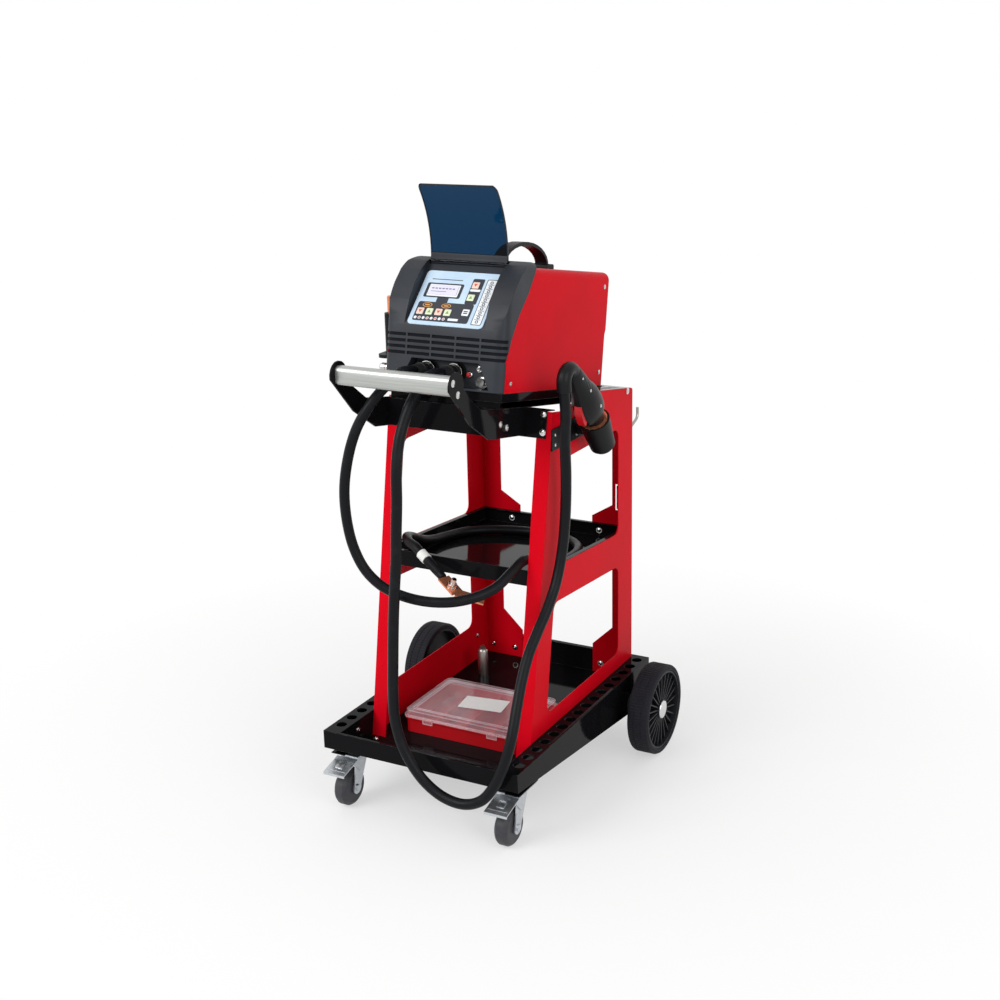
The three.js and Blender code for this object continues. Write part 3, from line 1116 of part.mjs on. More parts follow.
function makeGun() {
  const along = gun.handleLength;
  const handleProfile = [[-gun.headRadius * 0.35, 0], [-gun.headRadius * 0.35, gun.headRadius * 0.75],
    [0, gun.headRadius * 0.95], [along * 0.15, gun.headRadius], [along * 0.38, gun.headRadius * 0.92],
    [along * 0.55, gun.gripRadius], [along * 0.8, gun.buttRadius * 1.15], [along * 0.93, gun.buttRadius],
    [along, gun.buttRadius * 0.8], [along + gun.buttRadius * 0.25, gun.buttRadius * 0.4],
    [along + gun.buttRadius * 0.35, 0]];
  const flat = new THREE.Matrix4().makeScale(gun.flattenShare, 1, 1);
  const grip = moved(moved(turnedZ(handleProfile, 0, 0, 20), flat), aimed(gunHead, handleDirection));
  const noseProfile = [[-gun.headRadius * 0.3, 0], [-gun.headRadius * 0.3, gun.noseRadius],
    [gun.noseLength * 0.55, gun.noseRadius], [gun.noseLength * 0.75, gun.tipRadius * 1.6],
    [gun.noseLength, gun.tipRadius], [gun.noseLength, 0]];
  const nose = moved(turnedZ(noseProfile, 0, 0, 20), aimed(gunHead, noseDirection));
  const bends = [];
  for (let step = 0; step <= 8; step += 1) {
    bends.push(bootPoint(gun.bootTurn * (step / 8)).toArray());
  }
  bends.push(bootExit(gun.bootRadius / 2).toArray(), bootExit(gun.bootRadius).toArray());
  const boot = tube(bends, gun.bootRadius, 13, 14);
  const slotReach = gun.triggerDepth + gun.headRadius;
  const slot = moved(block(-gun.triggerWidth / 2 - gun.slotGap, gun.triggerWidth / 2 + gun.slotGap,
    gun.headRadius - gun.triggerDepth - gun.triggerTravel, slotReach,
    gun.triggerAlong - gun.triggerLength - gun.triggerDrop,
    gun.triggerAlong + gun.slotGap), triggerFrame());
  return cut(join([grip, nose, boot]), [slot]);
}

// The frame of the trigger: z up the handle from the head, y out of the handle's front side.
function triggerFrame() {
  const across = new THREE.Vector3(-1, 0, 0);
  const out = handleDirection.clone().cross(across);
  return new THREE.Matrix4().makeBasis(across, out, handleDirection).setPosition(gunHead);
}

function makeTrigger() {
  const high = gun.triggerAlong;
  const low = high - gun.triggerLength;
  const root = gun.headRadius - gun.triggerDepth + gun.slotGap;
  const front = gun.headRadius + gun.triggerReach;
  const points = [[root, low], [front - gun.triggerReach * 0.2, low], [front, low + gun.triggerLength * 0.2],
    [front - gun.triggerReach * 0.35, low + gun.triggerLength * 0.5], [front - gun.triggerReach * 0.75,
    high - gun.triggerLength * 0.2],
    [gun.headRadius - gun.triggerDepth * 0.4, high], [root, high]];
  return moved(alongX(points, -gun.triggerWidth / 2, gun.triggerWidth / 2), triggerFrame());
}

function makeCollar() {
  const bore = gun.noseRadius + clearance;
  const start = gun.collarSeat;
  const end = start + gun.collarLength;
  return moved(turnedZ([[start, bore], [start, gun.collarRadius], [start + gun.collarLength * 0.3,
    gun.collarRadius],
    [start + gun.collarLength * 0.45, gun.collarRadius * 0.93], [start + gun.collarLength * 0.6,
    gun.collarRadius],
    [end, gun.collarRadius], [end, bore], [start, bore]], 0, 0, 24), aimed(gunHead, noseDirection));
}

function makeHolster() {
  const start = holster.mouthAlong;
  const end = start + holster.length;
  const wall = holster.wall;
  const cup = moved(turnedZ([[end, 0], [end, holster.floorRadius * 0.8], [end - wall * 2,
    holster.floorRadius],
    [start, holster.mouthRadius], [start, holster.mouthRadius - wall], [end - wall * 2,
    holster.floorRadius - wall],
    [end - wall, 0]].reverse(), 0, 0, 28), aimed(gunHead, noseDirection));
  const plateX = panel.halfWidth + clearance;
  const plate = block(plateX, plateX + holster.plateThickness, gunHead.y - holster.plateFront,
    gunHead.y + holster.plateRear, gunHead.z - holster.plateFoot, gunHead.z - holster.plateTop);
  const middle = gunHead.clone().addScaledVector(noseDirection, start + holster.length * 0.35);
  const arm = block(plateX, gunX - holster.mouthRadius * 0.7, middle.y - holster.armHeight / 2,
    middle.y + holster.armHeight / 2, middle.z - holster.armHeight * 0.35,
    middle.z + holster.armHeight * 0.35);
  const hollow = moved(turnedZ([[start - overrun, 0], [start - overrun, holster.mouthRadius - wall],
    [start, holster.mouthRadius - wall], [end - wall * 2, holster.floorRadius - wall], [end - wall, 0]],
    0, 0, 28),
  aimed(gunHead, noseDirection));
  return cut(join([cup, plate, arm]), [hollow]);
}

// Cables. Their points are chosen by hand, from the plug to the far end.
const exitDirection = new THREE.Vector3(0, -tiltRun, tiltRise);
const [plugExitY, plugExitZ] = fromDeck(plugEndV, socket.w);
const gripDirection = new THREE.Vector3(0.84, -0.33, -0.43).normalize();
const lipY = postY(shelfFrontZ);
const gripStart = new THREE.Vector3(95 - panel.halfWidth, lipY - 8.5, shelfFrontZ + 5);
const shelfRest = earthCable.radius + 0.8;

// The height of a cable that lies on the shelf at y.
function shelfCableZ(y) {
  return shelfLineZ(y) - shelf.lip + sheet + shelfRest;
}

// A point of a cable that lies on the shelf, at a share of the way from its front lip to the panels' rear.
function laid(x, share, lift = 0) {
  const y = lipY + share * (panelRearY - lipY);
  return [x, y, shelfCableZ(y) + lift];
}

function past(origin, direction, distance) {
  return new THREE.Vector3(...origin).addScaledVector(direction, distance).toArray();
}

function plugExit(x, distance) {
  return past([x, plugExitY, plugExitZ], exitDirection, distance);
}

const gripOrigin = gripStart.toArray();
const side = panel.halfWidth;
const shelfTop = shelfFrontZ;
const earthRoute = [plugExit(socket.leftX, clearance), plugExit(socket.leftX, 10), plugExit(socket.leftX, 20),
  [-44, -257, deck.height + 37], [-54, -276, deck.height + 22], [-68, -293, deck.height + 2],
  [-84, -306, deck.height - 24], [-102, -315, deck.height - 60], [-117, -321, deck.height - 109],
  [-126, -325, shelfTop + 175], [-124, -325, shelfTop + 115], [-113, -323, shelfTop + 64],
  [-92, -320, shelfTop + 24], [-60, -316, shelfTop - 3], [-20, -309, shelfTop - 18],
  [24, -298, shelfTop - 25], [66, -280, shelfTop - 25], [side - 75, -252, shelfTop - 19],
  [side - 54, lipY - 78, shelfTop - 9], [side - 44, lipY - 40, shelfTop + 7], [side - 40, lipY - 2,
  shelfTop + 18],
  [side - 38, lipY + 36, shelfTop + 12], [side - 36, lipY + 74, shelfTop - 4], [side - 34, lipY + 112,
  shelfTop - 18],
  laid(side - 32, 0.364, 1), laid(side - 37, 0.531), laid(side - 57, 0.656), laid(78, 0.746), laid(24, 0.79),
  laid(-36, 0.78), laid(85 - side, 0.722), laid(45 - side, 0.622), laid(28 - side, 0.493),
    laid(23 - side, 0.369, 3),
  [23 - side, lipY + 112, shelfTop - 15], [25 - side, lipY + 78, shelfTop + 1],
  [31 - side, lipY + 50, shelfTop + 12], [41 - side, lipY + 28, shelfTop + 18], [58 - side, lipY + 8,
  shelfTop + 17.5],
  past(gripOrigin, gripDirection, -18), past(gripOrigin, gripDirection, -9),
  past(gripOrigin, gripDirection, -2 * clearance)];
const gunRoute = [plugExit(socket.rightX, clearance), plugExit(socket.rightX, 10),
  plugExit(socket.rightX, 20),
  [16, -262, deck.height + 35], [12, -282, deck.height + 19], [6, -300, deck.height - 4],
  [1, -316, deck.height - 32], [-2, -331, deck.height - 67], [-3, -341, deck.height - 112],
  [-3, -345, shelfTop + 171], [-6, -346, shelfTop + 118], [-9, -346, shelfTop + 65], [-15, -346,
  shelfTop + 7],
  [-20, -346, shelfTop - 51], [-25, -346, 349], [-28, -346, 285], [-27, -346, 235], [-13, -347, 184],
  [9, -347, 146], [38, -348, 117], [76, -349, 98], [116, -348, 94], [side - 25, -346, 108],
  [side, -341, 140], [side + 16, -331, 182], [side + 24, -316, 228], [side + 22, -290, 275],
  [side + 17, -261, 313], [side + 15, -228, 354], [side + 17, -194, 388], [side + 20, -161, shelfTop - 60],
  [side + 22, -127, shelfTop - 18], [side + 25, -106, shelfTop + 40], [side + 28, -98, shelfTop + 107],
  [side + 31, -100, shelfTop + 180], [side + 34, -109, deck.height - 94], bootExit(60).toArray(),
  bootExit(38).toArray(), bootExit(26).toArray(), bootExit(gun.bootRadius + 2 * clearance).toArray()];

function makeEarthCable() {
  return tube(earthRoute, earthCable.radius, 70, 8);
}

function makeGunCable() {
  return tube(gunRoute, gunCable.radius, 70, 8);
}

function makeGrip() {
  const gripEnd = clamp.sleeveLength + clamp.gripLength;
  const profile = [[0, 0], [0, clamp.sleeveRadius], [clamp.sleeveLength, clamp.sleeveRadius],
    [clamp.sleeveLength, clamp.gripRadius], [clamp.sleeveLength + clamp.gripLength * 0.5, clamp.gripRadius],
    [gripEnd, clamp.gripRadius * 0.8], [gripEnd, 0]];
  return moved(turnedZ(profile, 0, 0, 18), aimed(gripStart, gripDirection));
}

function makeClamp() {
  const start = past(gripOrigin, gripDirection, 2 * clearance + clamp.sleeveLength + clamp.gripLength);
  const half = clamp.plateWidth / 2;
  const lug = block(-half, half, -clamp.plateThickness / 2, clamp.plateThickness / 2, 0, clamp.lugLength);
  const stem = turnedY(rod(-clamp.nutHeight - clamp.plateThickness / 2, clamp.boltHeight,
    clamp.boltRadius), 0,
    clamp.lugLength * 0.6, 12);
  const nut = turnedY(rod(clamp.plateThickness / 2 - clearance, clamp.plateThickness / 2 + clamp.nutHeight,
    clamp.nutRadius), 0, clamp.lugLength * 0.6, 6);
  const tail = block(-half * 0.8, half * 0.8, -clamp.plateThickness / 2, clamp.plateThickness / 2,
    clamp.lugLength - sheet * 2, clamp.lugLength + clamp.tailLength);
  const bend = new THREE.Matrix4().makeTranslation(0, 0, clamp.lugLength)
    .multiply(new THREE.Matrix4().makeRotationY(clamp.tailTurn))
    .multiply(new THREE.Matrix4().makeTranslation(0, 0, -clamp.lugLength));
  const across = new THREE.Vector3(0, 0, 1).cross(gripDirection).normalize();
  const up = gripDirection.clone().cross(across);
  const frame = new THREE.Matrix4().makeBasis(across, up, gripDirection).setPosition(...start);
  return moved(join([lug, stem, nut, moved(tail, bend)]), frame);
}

place(cart, 'base_tray', makeBaseTray(), paint.black, 0.35, 0.3);
place(cart, 'side_panel_left', sidePanel(-1), paint.red, 0.35, 0.2);
place(cart, 'side_panel_right', sidePanel(1), paint.red, 0.35, 0.2);
place(cart, 'middle_shelf', makeShelf(), paint.black, 0.25, 0.3);
place(cart, 'cable_hook_left', makeHook(-1), paint.steel, 0.3, 0.9);
place(cart, 'cable_hook_right', makeHook(1), paint.steel, 0.3, 0.9);
place(cart, 'handle_bar', makeBar(), paint.aluminium, 0.4, 0.8);
place(welderGroup, 'cross_member', makeBeam(), paint.black, 0.35, 0.3);
place(welderGroup, 'welder_tray', makeWelderTray(), paint.black, 0.35, 0.3);
place(welderGroup, 'tool_rack', makeRack(), paint.black, 0.35, 0.3);
place(welderGroup, 'handle_bracket_left', makeBracket(-1), paint.black, 0.35, 0.3);
place(welderGroup, 'handle_bracket_right', makeBracket(1), paint.black, 0.35, 0.3);
place(cart, 'wheel_axle', makeAxle(), paint.steel, 0.35, 0.9);
for (const [side, hand] of [[-1, 'left'], [1, 'right']]) {
  place(cart, `rear_tyre_${hand}`, makeTyre(side), paint.tyre, 0.85, 0);
  place(cart, `rear_rim_${hand}`, makeRim(side), paint.darkPlastic, 0.6, 0);
  place(cart, `hub_cap_${hand}`, makeHubCap(side), paint.zinc, 0.15, 1);
  place(cart, `caster_plate_${hand}`, makeCasterPlate(side), paint.zinc, 0.35, 0.9);
  place(cart, `caster_fork_${hand}`, makeFork(side), paint.zinc, 0.35, 0.9);
  place(cart, `caster_wheel_${hand}`, makeCasterWheel(side), paint.rubber, 0.8, 0);
  place(cart, `caster_brake_${hand}`, makePedal(side), paint.zinc, 0.35, 0.9);
}
place(cart, 'storage_box_base', makeBoxBase(), paint.red, 0.4, 0);
place(cart, 'storage_box_lid', makeBoxLid(), paint.clear, 0.1, 0, { transparent: true, opacity: 0.5 });
place(cart, 'puller_weight', makeWeight(), paint.steel, 0.3, 0.9);
place(welderGroup, 'welder_base_pan', makePan(), paint.black, 0.5, 0.3);
place(welderGroup, 'welder_front_bezel', makeBezel(), paint.darkPlastic, 0.5, 0);
place(welderGroup, 'welder_cover', makeCover(), paint.red, 0.35, 0.2);
place(welderGroup, 'welder_rear_panel', makeRearPanel(), paint.black, 0.5, 0.3);
place(welderGroup, 'control_plate', makeControlPlate(), paint.plate, 0.35, 0.1);
place(welderGroup, 'display_window', makePane(), paint.white, 0.1, 0);
place(welderGroup, 'smoked_lid', makeLid(), paint.smoked, 0.1, 0, { transparent: true, opacity: 0.8 });
place(welderGroup, 'lid_hinge_pin', makeHingePin(), paint.steel, 0.3, 0.9);
place(welderGroup, 'carry_handle', makeHandle(), paint.rubber, 0.6, 0);
place(welderGroup, 'earth_socket', makeSocket(socket.leftX), paint.rubber, 0.5, 0);
place(welderGroup, 'gun_socket', makeSocket(socket.rightX), paint.rubber, 0.5, 0);
place(welderGroup, 'control_connector', makeConnector(), paint.zinc, 0.2, 1);
place(welderGroup, 'transformer_core', makeCore(), paint.steel, 0.6, 0.6);
place(welderGroup, 'transformer_winding', makeWinding(), paint.winding, 0.5, 0.4);
place(welderGroup, 'circuit_board', makeBoard(), paint.green, 0.6, 0);
place(welderGroup, 'cooling_fan', makeFan(), paint.rubber, 0.6, 0);
place(welderGroup, 'main_switch', makeRocker(), paint.rubber, 0.4, 0);
place(welderGroup, 'mains_gland', makeGland(), paint.rubber, 0.6, 0);
place(welderGroup, 'earth_plug', makePlug(socket.leftX), paint.rubber, 0.6, 0);
place(welderGroup, 'gun_plug', makePlug(socket.rightX), paint.rubber, 0.6, 0);
place(cart, 'rod_holder', makeHolder(), paint.rubber, 0.5, 0);
place(cart, 'copper_rod', makeCopperRod(), paint.copper, 0.35, 0.9);
place(cart, 'gun_holster', makeHolster(), paint.rubber, 0.5, 0);
place(cart, 'gun_body', makeGun(), paint.rubber, 0.55, 0);
place(cart, 'gun_trigger', makeTrigger(), paint.trigger, 0.45, 0);
place(cart, 'gun_collar', makeCollar(), paint.copper, 0.3, 0.9);
place(cart, 'earth_cable', makeEarthCable(), paint.rubber, 0.6, 0);
place(cart, 'gun_cable', makeGunCable(), paint.rubber, 0.6, 0);
place(cart, 'earth_grip', makeGrip(), paint.white, 0.5, 0);
place(cart, 'earth_clamp', makeClamp(), paint.copper, 0.35, 0.9);

welderGroup.position.set(...deckOrigin);
welderGroup.rotation.x = -deck.tilt;

// The middle of the whole, cables apart, stands over the origin.
cart.updateMatrixWorld(true);
const bounds = new THREE.Box3();
cart.traverse((item) => {
  if (item.isMesh && !item.name.endsWith('_cable')) {
    item.geometry.computeBoundingBox();
    bounds.union(new THREE.Box3().setFromObject(item, true));
  }
});
const middle = bounds.getCenter(new THREE.Vector3());
cart.position.set(-middle.x, -middle.y, 0);

export default whole;
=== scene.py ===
"""The looks of a dent pulling spot welder on its trolley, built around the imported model."""
import bmesh
import bpy
import numpy as np
from mathutils import Matrix, Vector


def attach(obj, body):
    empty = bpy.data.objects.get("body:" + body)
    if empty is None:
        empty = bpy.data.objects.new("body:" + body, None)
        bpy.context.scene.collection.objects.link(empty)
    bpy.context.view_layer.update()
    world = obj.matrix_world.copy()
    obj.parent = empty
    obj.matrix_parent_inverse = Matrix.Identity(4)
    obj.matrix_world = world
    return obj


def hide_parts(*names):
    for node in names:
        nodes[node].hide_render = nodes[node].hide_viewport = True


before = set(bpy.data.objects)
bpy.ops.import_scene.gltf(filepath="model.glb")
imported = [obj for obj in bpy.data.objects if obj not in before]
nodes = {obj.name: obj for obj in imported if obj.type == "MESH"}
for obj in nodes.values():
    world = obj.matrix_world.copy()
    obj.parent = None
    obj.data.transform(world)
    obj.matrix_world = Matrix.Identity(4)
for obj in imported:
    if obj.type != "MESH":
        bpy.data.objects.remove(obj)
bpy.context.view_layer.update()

scene = bpy.context.scene


# Base tray, middle shelf, cross member, welder tray, tool rack and push bar brackets: punched and folded
# sheet steel, bolted together. They are powder coated in a black gloss that mirrors what stands on it, with
# fine dust. Their edges are lightened grey, partly as rubbed wear and partly as painted highlight.
class Value:
    """A socket of a shader node. +, - and * with values or numbers add Math nodes."""

    def __init__(self, finish, socket):
        self.finish, self.socket = finish, socket

    def __add__(self, other):
        return self.finish.math("ADD", self, other)

    def __sub__(self, other):
        return self.finish.math("SUBTRACT", self, other)

    def __rsub__(self, other):
        return self.finish.math("SUBTRACT", other, self)

    def __mul__(self, other):
        return self.finish.math("MULTIPLY", self, other)

    def over(self, low, high):
        """0 below low, 1 above high, and a straight rise between them."""
        return self.finish.node("MapRange", {}, {0: self, 1: low, 2: high})

    __radd__, __rmul__ = __add__, __mul__


def colour(red, green, blue):
    """A shader colour from the 0 to 255 steps of a paint chip."""
    part = np.array([red, green, blue]) / 255
    linear = np.where(part < 0.04045, part / 12.92, ((part + 0.055) / 1.055) ** 2.4)
    return (*linear.tolist(), 1.0)


class Finish:
    """A material: a Principled surface, and the nodes that vary it over the piece. It keeps the name in slot,
    or its own name, as its slot."""

    def __init__(self, name, base, roughness, slot=None, **fixed):
        self.slot = slot or name
        self.material = bpy.data.materials.new(name)
        self.material.use_nodes = True
        self.tree = self.material.node_tree
        self.surface = self.tree.nodes["Principled BSDF"]
        self.vary(Base_Color=base, Roughness=roughness, **fixed)
        self.place = self.node("TexCoord", {}, {}, "Object")

    def feed(self, node, values):
        for key, value in values.items():
            if isinstance(value, Value):
                self.tree.links.new(value.socket, node.inputs[key])
            else:
                node.inputs[key].default_value = value

    def vary(self, **values):
        """Sets the surface's colour, roughness and the like, to numbers or to values over the piece."""
        self.feed(self.surface, {key.replace("_", " "): value for key, value in values.items()})

    def node(self, kind, settings, values, output=0):
        """A node of a type, with its settings first and then its sockets' values or links."""
        node = self.tree.nodes.new("ShaderNode" + kind)
        for key, value in settings.items():
            setattr(node, key, value)
        self.feed(node, values)
        return Value(self, node.outputs[output])

    def math(self, operation, *sides):
        return self.node("Math", {"operation": operation}, dict(enumerate(sides)))

    def noise(self, scale, detail=2.0, place=None):
        return self.node("TexNoise", {}, {"Vector": place or self.place, "Scale": scale, "Detail": detail})

    def stretched(self, x, y, z):
        """The piece's own place with each axis scaled."""
        return self.node("Mapping", {}, {"Vector": self.place, "Scale": (x, y, z)})

    def mix(self, share, first, second):
        return self.node("Mix", {"data_type": "RGBA"}, {0: share, 6: first, 7: second}, 2)

    def edge(self, radius):
        """0 on flat faces and up to 1 within radius of an edge."""
        rounded = self.node("Bevel", {"samples": 4}, {"Radius": radius})
        flat = self.node("NewGeometry", {}, {}, "True Normal")
        facing = self.node("VectorMath", {"operation": "DOT_PRODUCT"}, {0: rounded, 1: flat}, "Value")
        return (1 - facing).over(0.0, 0.3)

    def bump(self, height, depth, soften=0.0):
        """Relief of the given depth in metres, over edges rounded to a radius of soften metres."""
        values = {"Height": height, "Strength": 1.0, "Distance": depth}
        if soften:
            values["Normal"] = self.node("Bevel", {"samples": 4}, {"Radius": soften})
        self.feed(self.surface, {"Normal": self.node("Bump", {}, values)})


def smoothing(weld_within=0.00001, sharp_from=np.radians(32)):
    """The node group that welds a mesh's loose triangles and shades it smooth but for its sharp edges."""
    group = bpy.data.node_groups.new("smooth_but_edges", "GeometryNodeTree")
    group.interface.new_socket("Geometry", in_out="INPUT", socket_type="NodeSocketGeometry")
    group.interface.new_socket("Geometry", in_out="OUTPUT", socket_type="NodeSocketGeometry")
    kinds = ("NodeGroupInput", "GeometryNodeMergeByDistance", "GeometryNodeSetShadeSmooth",
             "GeometryNodeSetShadeSmooth", "NodeGroupOutput", "GeometryNodeInputMeshEdgeAngle",
             "FunctionNodeCompare")
    entry, weld, faces, edges, leave, angle, compare = (group.nodes.new(kind) for kind in kinds)
    weld.inputs["Distance"].default_value = weld_within
    edges.domain = "EDGE"
    compare.data_type, compare.operation = "FLOAT", "LESS_THAN"
    compare.inputs[1].default_value = sharp_from
    group.links.new(angle.outputs[0], compare.inputs[0])
    group.links.new(compare.outputs[0], edges.inputs["Shade Smooth"])
    for before, after in ((entry, weld), (weld, faces), (faces, edges), (edges, leave)):
        group.links.new(before.outputs[0], after.inputs[0])
    return group


soft_shading = smoothing()


def dress(finish, *names):
    """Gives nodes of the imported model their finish, and smooth shading between their sharp edges."""
    for name in names:
        node = nodes[name]
        for slot in node.material_slots:
            slot.link = "OBJECT"
            slot.material = finish.material
        node.modifiers.new("shade", "NODES").node_group = soft_shading


black_paint = Finish("black_paint", colour(18, 18, 20), 0.12, Specular_IOR_Level=0.05)
black_cloud = black_paint.noise(9, 3)
# Lighter grey edges: partly rubbed wear, partly a painted highlight along the folds.
black_rubbed_and_highlit = black_paint.edge(0.0016) * black_paint.noise(80, 3).over(0.42, 0.7)
dust = black_paint.noise(1300, 1).over(0.62, 0.8)
black_paint.vary(
    Base_Color=black_paint.mix(black_rubbed_and_highlit * 0.6 + dust * 0.06, colour(15, 15, 17), colour(104, 104, 108)),
    Roughness=0.03 + black_cloud * 0.06 + dust * 0.08)
black_paint.bump(black_paint.noise(420, 1), 0.00002, 0.0011)
dress(black_paint, "base_tray", "middle_shelf", "cross_member", "welder_tray", "tool_rack",
      "handle_bracket_left", "handle_bracket_right")


# Side panels: folded sheet steel, bolted to the base tray and to the welder tray. They are powder coated in a
# glossy red with a little orange peel, duller where hands and dust reach, and rubbed on the edges.
red_paint = Finish("red_paint", colour(208, 6, 26), 0.36, Specular_IOR_Level=0.03)
cloud = red_paint.noise(7, 3)
rubbed = red_paint.edge(0.0016) * red_paint.noise(90, 3).over(0.45, 0.7)
red_coat = red_paint.mix(cloud.over(0.35, 0.7), colour(202, 5, 24), colour(214, 8, 30))
red_paint.vary(Base_Color=red_paint.mix(rubbed * 0.55, red_coat, colour(120, 8, 16)),
               Roughness=0.28 + cloud * 0.14 + rubbed * 0.2)
red_paint.bump(red_paint.noise(520, 1), 0.00006, 0.0011)
dress(red_paint, "side_panel_left", "side_panel_right")


# Push bar: an aluminium extrusion, brushed along its length and left bare. It spans the two brackets, and two
# screws through each of them hold it.
aluminium = Finish("aluminium", colour(176, 178, 175), 0.38, Metallic=0.85)
brushed = aluminium.noise(1, 3, aluminium.stretched(14, 2600, 2600))
aluminium.vary(Base_Color=aluminium.mix(brushed.over(0.3, 0.7), colour(164, 166, 163), colour(192, 194, 190)),
               Roughness=0.3 + brushed * 0.2)
aluminium.bump(brushed, 0.00003)
dress(aluminium, "handle_bar")


# Rear axle, cable hooks and puller weight: turned and bent steel bar, bright and unpainted, with fine marks
# round it from the lathe. The axle goes through the base tray's skirts, and each hook is screwed to a rear
# flange.
steel = Finish("steel", colour(166, 164, 158), 0.32, Metallic=1.0)
steel.vary(Roughness=0.24 + steel.noise(150, 3) * 0.2)
steel.bump(steel.noise(1, 2, steel.stretched(1400, 1400, 120)), 0.00002)
dress(steel, "wheel_axle", "cable_hook_left", "cable_hook_right", "puller_weight")


# Rear wheels: solid rubber tyres, pressed on ribbed plastic rims that turn on the axle. Cross bars and two
# grooves cover the tread, a fine step runs near the edge of each face, and a chrome cap closes each hub.
mm = 0.001
both = (-1, 1)
hands = {"left": -1, "right": 1}


def grid_faces(rows, columns, wrap_columns=False, wrap_rows=False):
    """Quads between the neighbours of a grid of rows x columns points."""
    r = np.arange(rows if wrap_rows else rows - 1)[:, None]
    c = np.arange(columns if wrap_columns else columns - 1)[None, :]
    below, beside = (r + 1) % rows, (c + 1) % columns
    corners = [r * columns + c, r * columns + beside, below * columns + beside, below * columns + c]
    return np.stack(corners, -1).reshape(-1, 4)


def piece(name, parts, finish, body="trolley", bevel=0.0, weld_within=2e-6, sharp_from=np.radians(35)):
    """An object from (points in millimetres, faces) parts, welded and with its faces turned outwards. Its
    sharp edges can have a bevel."""
    points, faces, first = [], [], 0
    for part_points, part_faces in parts:
        points.append(np.asarray(part_points, float).reshape(-1, 3))
        faces += [[first + int(corner) for corner in face] for face in part_faces]
        first += len(points[-1])
    mesh = bpy.data.meshes.new(name)
    mesh.from_pydata((np.concatenate(points) * mm).tolist(), [], faces)
    work = bmesh.new()
    work.from_mesh(mesh)
    bmesh.ops.remove_doubles(work, verts=work.verts, dist=weld_within)
    bmesh.ops.recalc_face_normals(work, faces=work.faces)
    work.to_mesh(mesh)
    work.free()
    mesh.materials.append(finish.material)
    solid = bpy.data.objects.new(name, mesh)
    scene.collection.objects.link(solid)
    if bevel:
        edge = solid.modifiers.new("edge", "BEVEL")
        edge.width, edge.segments = bevel * mm, 2
        edge.limit_method, edge.angle_limit = "ANGLE", sharp_from
    solid.modifiers.new("shade", "NODES").node_group = soft_shading
    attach(solid, body)
    return solid


def lathe(profile, sides=32, flutes=0, flute_depth=0.0, fluted=(0, 0), above=0.0, closed=False):
    """A surface of revolution round z from (height, radius) pairs: each radius times the cosine and sine of
    the turn. Between the two fluted heights, and over the radius given by above, the radius dips with the
    cosine of flutes times the turn. A closed profile runs back to its first pair."""
    height, radius = np.asarray(profile, float).T
    turn = np.linspace(0, 2 * np.pi, sides, endpoint=False)
    inside = (height >= fluted[0]) & (height <= fluted[1]) & (radius > above)
    dip = flute_depth * inside[:, None] * (0.5 + 0.5 * np.cos(flutes * turn))[None, :]
    reach = np.maximum(radius[:, None] - dip, 0)
    points = np.stack([reach * np.cos(turn), reach * np.sin(turn), height[:, None] + 0 * turn], -1)
    return points.reshape(-1, 3), grid_faces(len(height), sides, wrap_columns=True, wrap_rows=closed)


def framed(part, origin, direction, turn=0.0):
    """A part with its z axis laid along a direction from an origin, turned by an angle round it."""
    points, faces = part
    direction = np.asarray(direction, float) / np.linalg.norm(direction)
    side = np.array([1.0, 0, 0]) if abs(direction[0]) < 0.9 else np.array([0, 1.0, 0])
    side = side - direction * np.dot(side, direction)
    side = side / np.linalg.norm(side)
    other = np.cross(direction, side)
    first = np.cos(turn) * side + np.sin(turn) * other
    second = np.cos(turn) * other - np.sin(turn) * side
    return points @ np.stack([first, second, direction]) + np.asarray(origin, float), faces


rim_plastic = Finish("rim_plastic", colour(22, 23, 28), 0.45, Specular_IOR_Level=0.4)
rim_plastic.vary(Roughness=0.42 + rim_plastic.noise(300, 2) * 0.2)
rim_plastic.bump(rim_plastic.noise(900, 2), 0.00006)
dress(rim_plastic, *(f"rear_rim_{hand}" for hand in hands))

tyre_rubber = Finish("tyre_rubber", colour(22, 22, 29), 0.62, Specular_IOR_Level=0.2)
tread_dust = tyre_rubber.noise(60, 3).over(0.45, 0.75)
tyre_rubber.vary(Base_Color=tyre_rubber.mix(tread_dust * 0.4, colour(20, 20, 27), colour(44, 44, 50)),
                 Roughness=0.6 + tread_dust * 0.2)
tyre_rubber.bump(tyre_rubber.noise(900, 2), 0.0001)

chrome = Finish("chrome", colour(214, 214, 212), 0.12, Metallic=1.0)
chrome.vary(Roughness=0.08 + chrome.noise(180, 3) * 0.14)

